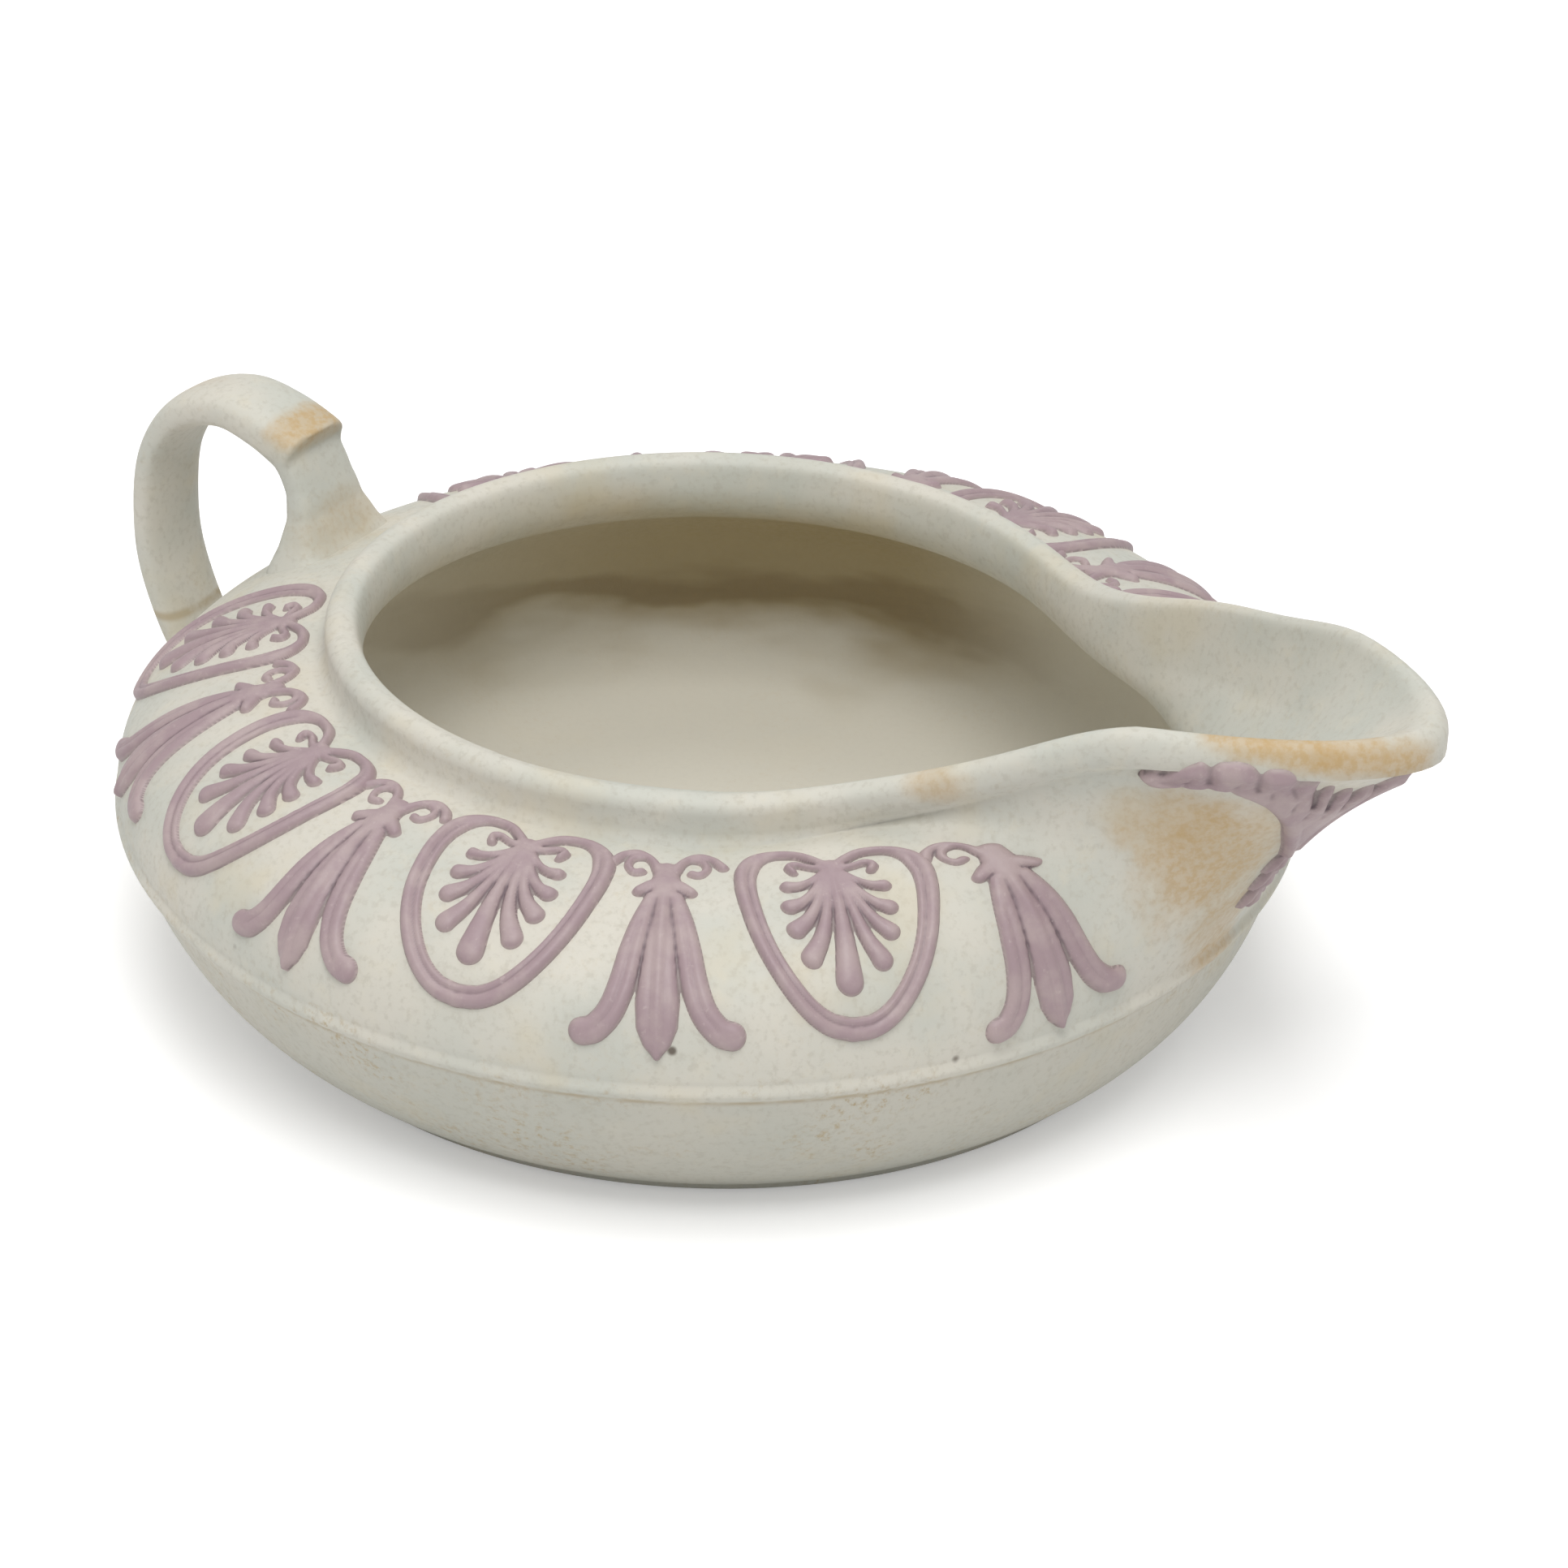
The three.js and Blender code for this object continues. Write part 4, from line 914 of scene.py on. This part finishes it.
def stoneware(settings):
    """Dry-bodied white stoneware, thrown, sponged and fired without a glaze.

    It looks chalky with a faint sheen, and age has left ochre specks and stains in its pores. Its colour also
    holds painted shade below the crease and on the far inside wall, and painted light on the lower inside.
    """
    material, tree = new_material("dry_bodied_stoneware")
    where = add(tree, "ShaderNodeTexCoord").outputs["Object"]
    clay = Clay(
        tree, where,
        height=add(tree, "ShaderNodeSeparateXYZ", None, Vector=where).outputs["Z"],
        inside=add(tree, "ShaderNodeAttribute", {"attribute_name": "inside"}).outputs["Fac"],
        mottle=noise(tree, where, 3.2, 4.0, 0.6),
        grain=noise(tree, where, 0.7, 3.0, 0.6),
    )
    colour = fired_clay(clay, opaque(settings.clay_colour))
    for layer in (speckled, stained, inside_stains_and_painted_light, iron_specked):
        colour = layer(clay, colour)
    rough = ramped(tree, clay.grain, 0.3, 0.7, settings.clay_roughness - 0.05, settings.clay_roughness + 0.07)
    bumps = maths(tree, "ADD", product(tree, clay.grain, 0.5), product(tree, clay.mottle, 0.5))
    surfaced(tree, colour, rough, bumps, 0.22, 0.25)
    return material


def lilac_relief(settings):
    """Stained stoneware pressed in a mould and stuck on with slip.

    It is matt, darker where the mould's hollows hold the shade, and paler at its worn edges and high spots.
    """
    material, tree = new_material("lilac_stained_stoneware")
    where = add(tree, "ShaderNodeTexCoord").outputs["Object"]
    hollow = add(tree, "ShaderNodeAttribute", {"attribute_name": "hollow"}).outputs["Fac"]
    rise = add(tree, "ShaderNodeAttribute", {"attribute_name": "rise"}).outputs["Fac"]
    cloud = noise(tree, where, 4, 4.0, 0.6)
    grain = noise(tree, where, 0.6, 3.0, 0.6)
    colour = blended(tree, ramped(tree, cloud, 0.38, 0.68, 0, 0.9), opaque(settings.relief_colour),
                     linear("#AE9C9B"))
    # painted shade in the hollows of the relief
    colour = blended(tree, ramped(tree, hollow, 0.05, 0.8), colour, linear("#66555B"))
    worn = maths(tree, "ADD", rise, product(tree, maths(tree, "SUBTRACT", cloud, 0.5), 0.8))
    colour = blended(tree, ramped(tree, worn, 0.42, 0.05, 0, 0.45), colour, linear("#B9ADA6"))
    colour = blended(tree, ramped(tree, grain, 0.6, 0.75, 0, 0.3), colour, linear("#C4B5B2"))
    rough = ramped(tree, grain, 0.3, 0.7, settings.relief_roughness - 0.06, settings.relief_roughness + 0.06)
    surfaced(tree, colour, rough, grain, 0.25, 0.12)
    return material


def pale_floor(settings):
    """Matt white paper sweep: white to the camera, with the jug's soft shadow left on it."""
    material, tree = new_material("white_paper_floor")
    camera_ray = add(tree, "ShaderNodeLightPath").outputs["Is Camera Ray"]
    paper = add(tree, "ShaderNodeBsdfDiffuse", None, Color=opaque(settings.floor_colour), Roughness=0.5)
    lift = product(tree, camera_ray, settings.floor_lift)
    glow = add(tree, "ShaderNodeEmission", None, Color=WHITE, Strength=lift)
    both = add(tree, "ShaderNodeAddShader", None, i0=paper.outputs[0], i1=glow.outputs[0])
    add(tree, "ShaderNodeOutputMaterial", None, Surface=both.outputs[0])
    return material


WHITE = (1, 1, 1, 1)


def shared(name, make, settings):
    """A finish that several pieces share is made once."""
    return bpy.data.materials.get(name) or make(settings)


# Settings, operators and panel

class JugClaySettings(bpy.types.PropertyGroup):
    """Sizes and finishes of the clay"""

    relief_height: FloatProperty(
        name="Relief height", description="From the shoulder to the top of its sprigs", subtype="DISTANCE",
        unit="LENGTH", min=0, default=RELIEF_HEIGHT * MM, precision=5)
    leaf_height: FloatProperty(
        name="Leaf height", description="From the spout to the top of its leaf", subtype="DISTANCE",
        unit="LENGTH", min=0, default=LEAF_RELIEF_HEIGHT * MM, precision=5)
    clay_colour: FloatVectorProperty(
        name="Clay colour", description="Colour of the bare stoneware", subtype="COLOR",
        size=3, min=0, max=1, default=linear("#CDC9BD")[:3])
    relief_colour: FloatVectorProperty(
        name="Relief colour", description="Colour of the applied relief", subtype="COLOR",
        size=3, min=0, max=1, default=linear("#9F8A8E")[:3])
    clay_roughness: FloatProperty(
        name="Clay roughness", description="Higher is more chalky", subtype="FACTOR",
        min=0.1, max=0.95, default=0.56)
    relief_roughness: FloatProperty(
        name="Relief roughness", description="Higher is more chalky", subtype="FACTOR",
        min=0.1, max=0.95, default=0.5)


class JugStageSettings(bpy.types.PropertyGroup):
    """Floor, lamps and lens"""

    floor_colour: FloatVectorProperty(
        name="Floor colour", description="Colour of the paper under the jug", subtype="COLOR",
        size=3, min=0, max=1, default=(0.9, 0.9, 0.9))
    floor_lift: FloatProperty(
        name="Floor lift", description="White added to the floor as the camera sees it", subtype="FACTOR",
        min=0, max=1, default=0.25)
    lamp_power: FloatProperty(
        name="Lamp power", description="Power of the large lamp overhead", subtype="POWER", unit="POWER",
        min=0, default=3.1)
    lens: FloatProperty(
        name="Lens", description="Focal length on a 36 mm wide sensor", subtype="DISTANCE_CAMERA",
        unit="CAMERA", min=20, max=300, default=106.03)


class JUG_OT_body(bpy.types.Operator):
    """Spins the body and pulls out its spout"""

    bl_idname = "jug.body"
    bl_label = "Vessel body"

    def execute(self, context):
        settings = context.scene.jug_clay
        finished("body_shell", spun_body(), shared("dry_bodied_stoneware", stoneware, settings),
                 STONEWARE_SLOT, "vessel_body")
        return {"FINISHED"}


class JUG_OT_handle(bpy.types.Operator):
    """Pulls the strap handle with its thumb rest and strut"""

    bl_idname = "jug.handle"
    bl_label = "Strap handle"

    def execute(self, context):
        settings = context.scene.jug_clay
        piece = finished("strap_handle", handle_mesh(), shared("dry_bodied_stoneware", stoneware, settings),
                         STONEWARE_SLOT, "handle")
        joined = piece.modifiers.new("Luted together", "REMESH")
        joined.mode = "VOXEL"
        joined.voxel_size = LUTING_CELL * MM
        joined.use_smooth_shade = True
        sponged = piece.modifiers.new("Sponged", "SMOOTH")
        sponged.factor = SPONGE_SHARE
        sponged.iterations = SPONGE_ROUNDS
        return {"FINISHED"}


# Each sprig was set by hand, from the spout to the handle: angle from the spout and lean in degrees,
# drop in millimetres, share of full width. Bellflowers and palmettes take turns.
SET_ON_LEFT = [(24.5, -6.0, 0, 1), (42.7, 2.5, 0.3, 0.94), (60.9, 1.0, 0, 1), (79.2, -1.2, 0, 1),
               (97.3, 1.0, 0.1, 1), (115.9, -1.0, 0, 1), (134.1, 0.8, 0.1, 1), (152.5, -0.5, 0, 1)]
SET_ON_RIGHT = [(24.3, -7.5, 0, 1), (42.9, 3.5, 0.4, 0.93), (60.8, -1.0, 0, 1), (78.8, 1.0, 0.1, 1),
                (97.2, -1.5, 0, 1), (115.3, 1.0, 0.2, 1), (133.7, -0.5, 0, 1), (152.5, -1.0, 0.1, 1)]


class JUG_OT_sprigs(bpy.types.Operator):
    """Presses the palmettes and bellflowers and lays them round the shoulder"""

    bl_idname = "jug.sprigs"
    bl_label = "Sprigs"

    def execute(self, context):
        settings = context.scene.jug_clay
        finish = shared("lilac_stained_stoneware", lilac_relief, settings)
        tallness = settings.relief_height / MM
        palmette = flat_relief("palmette", PALMETTE_FIELD, palmette_height, tallness)
        # the bellflower next to the spout has a scroll on its far side only
        flowers = {links: flat_relief("bellflower", BELLFLOWER_FIELD, partial(bellflower_height, links=links),
                                      tallness)
                   for links in ((1, -1), (1,), (-1,))}
        for side, hand, places in (("left", 1, SET_ON_LEFT), ("right", -1, SET_ON_RIGHT)):
            for i, (angle, lean, drop, width) in enumerate(places):
                kind = "palmette" if i % 2 else "bellflower"
                links = (1, -1) if i else (-hand,)
                mesh = (palmette if i % 2 else flowers[links]).copy()
                points = laid_on_shoulder(read_points(mesh), hand * math.radians(angle),
                                          hand * math.radians(lean), drop, width)
                write_points(mesh, points * MM)
                number = i // 2 + 1
                mesh.name = f"{kind}_sprig_{side}_{number}"
                finished(mesh.name, mesh, finish, RELIEF_SLOT, f"{kind}_{side}_{number}")
        for flat in (palmette, *flowers.values()):
            bpy.data.meshes.remove(flat)
        return {"FINISHED"}


class JUG_OT_leaf(bpy.types.Operator):
    """Lays the leaf and its husks under the spout"""

    bl_idname = "jug.leaf"
    bl_label = "Spout leaf"

    def execute(self, context):
        settings = context.scene.jug_clay
        finish = shared("lilac_stained_stoneware", lilac_relief, settings)
        mesh = flat_relief("spout_leaf_sprig", LEAF_FIELD, leaf_height, settings.leaf_height / MM)
        write_points(mesh, laid_under_spout(read_points(mesh)) * MM)
        finished("spout_leaf_sprig", mesh, finish, RELIEF_SLOT, "spout_leaf")
        return {"FINISHED"}


# The photograph's viewpoint: angles in degrees, and lengths in crease radii
CAMERA_RISE = 28.96               # above the floor
CAMERA_TURN = 33.0                # round from the jug's right side towards the spout
CAMERA_ROLL = 1.74
CAMERA_DISTANCE = 8.0
CAMERA_AIM = (0.115, 0.270)       # to the right of the jug's axis and up the picture
SENSOR_WIDTH = 36


def fitted_camera(settings):
    """A camera at the photograph's viewpoint."""
    rise, turn, roll = (math.radians(angle) for angle in (CAMERA_RISE, CAMERA_TURN, CAMERA_ROLL))
    forward = Vector((0, math.cos(rise), -math.sin(rise)))
    right = Vector((1, 0, 0))
    up = right.cross(forward)
    tilted_right = right * math.cos(roll) + up * math.sin(roll)
    tilted_up = up * math.cos(roll) - right * math.sin(roll)
    aim = right * CAMERA_AIM[0] + up * CAMERA_AIM[1]
    place = (aim - forward * CAMERA_DISTANCE) * CREASE_RADIUS * MM
    axes = Matrix((tilted_right, tilted_up, -forward)).transposed().to_4x4()
    camera = bpy.data.objects.new("camera", bpy.data.cameras.new("camera"))
    camera.data.lens = settings.lens
    camera.data.sensor_width = SENSOR_WIDTH
    camera.data.clip_start = 0.01
    camera.matrix_world = Matrix.Rotation(turn, 4, "Z") @ Matrix.Translation(place) @ axes
    return camera


# The stage, in metres
FLOOR_HALF = 3.0
FLOOR_DROP = 0.0002               # the floor lies this much below the foot
LIT_PLACE = (0, 0, 0.02)
KEY_LAMP = ("key_lamp", (0.2, -0.3, 0.74), 0.4)
BACK_LAMP = ("back_lamp", (-0.2, 0.2, 0.78), 0.5)
BACK_LAMP_SHARE = 0.45            # its power as a share of the key lamp's
WORLD_STRENGTH = 0.6


def soft_lamp(name, place, size, power):
    """A large square white lamp that points at the jug."""
    lamp = bpy.data.objects.new(name, bpy.data.lights.new(name, "AREA"))
    lamp.data.shape = "SQUARE"
    lamp.data.size = size
    lamp.data.energy = power
    lamp.location = place
    lamp.rotation_euler = (Vector(LIT_PLACE) - Vector(place)).to_track_quat("-Z", "Y").to_euler()
    return lamp


def paper_floor(settings):
    """A wide sheet of paper just under the foot."""
    bm = bmesh.new()
    bmesh.ops.create_grid(bm, x_segments=1, y_segments=1, size=FLOOR_HALF)
    mesh = made_mesh("floor", bm)
    mesh.materials.append(pale_floor(settings))
    floor = bpy.data.objects.new("floor", mesh)
    floor.location.z = -FLOOR_DROP
    return floor


def white_studio():
    """A world that lights the jug evenly and is plain white to the camera."""
    world = bpy.data.worlds.new("white_studio")
    world.use_nodes = True
    tree = world.node_tree
    tree.nodes.clear()
    path = add(tree, "ShaderNodeLightPath")
    seen = maths(tree, "MAXIMUM", path.outputs["Is Camera Ray"], path.outputs["Is Transmission Ray"])
    lit = add(tree, "ShaderNodeBackground", None, Color=WHITE, Strength=WORLD_STRENGTH)
    white = add(tree, "ShaderNodeBackground", None, Color=WHITE, Strength=1.0)
    mixed = add(tree, "ShaderNodeMixShader", None, i0=seen, i1=lit.outputs[0], i2=white.outputs[0])
    add(tree, "ShaderNodeOutputWorld", None, Surface=mixed.outputs[0])
    return world


class JUG_OT_stage(bpy.types.Operator):
    """Sets the floor, the lamps, the world and the camera"""

    bl_idname = "jug.stage"
    bl_label = "Stage"

    def execute(self, context):
        scene = context.scene
        settings = scene.jug_stage
        floor = paper_floor(settings)
        camera = fitted_camera(settings)
        lamps = (soft_lamp(*KEY_LAMP, settings.lamp_power),
                 soft_lamp(*BACK_LAMP, settings.lamp_power * BACK_LAMP_SHARE))
        for thing in (floor, *lamps, camera):
            scene.collection.objects.link(thing)
        scene.world = white_studio()
        scene.camera = camera
        scene.view_settings.view_transform = "Standard"
        return {"FINISHED"}


class JUG_PT_panel(bpy.types.Panel):
    """Lists the jug's sizes, finishes and pieces"""

    bl_idname = "JUG_PT_panel"
    bl_label = "Cream jug"
    bl_space_type = "VIEW_3D"
    bl_region_type = "UI"
    bl_category = "Jug"

    def draw(self, context):
        for group in (context.scene.jug_clay, context.scene.jug_stage):
            for name in type(group).__annotations__:
                self.layout.prop(group, name)
        for operator in OPERATORS:
            self.layout.operator(operator.bl_idname)


OPERATORS = (JUG_OT_body, JUG_OT_handle, JUG_OT_sprigs, JUG_OT_leaf, JUG_OT_stage)
CLASSES = (JugClaySettings, JugStageSettings, *OPERATORS, JUG_PT_panel)


def register():
    for cls in CLASSES:
        bpy.utils.register_class(cls)
    bpy.types.Scene.jug_clay = PointerProperty(type=JugClaySettings)
    bpy.types.Scene.jug_stage = PointerProperty(type=JugStageSettings)


def unregister():
    del bpy.types.Scene.jug_stage
    del bpy.types.Scene.jug_clay
    for cls in reversed(CLASSES):
        bpy.utils.unregister_class(cls)


def main():
    """Builds the jug and its stage."""
    register()
    bpy.ops.jug.body()
    bpy.ops.jug.handle()
    bpy.ops.jug.sprigs()
    bpy.ops.jug.leaf()
    bpy.ops.jug.stage()


if __name__ == "__main__":
    main()
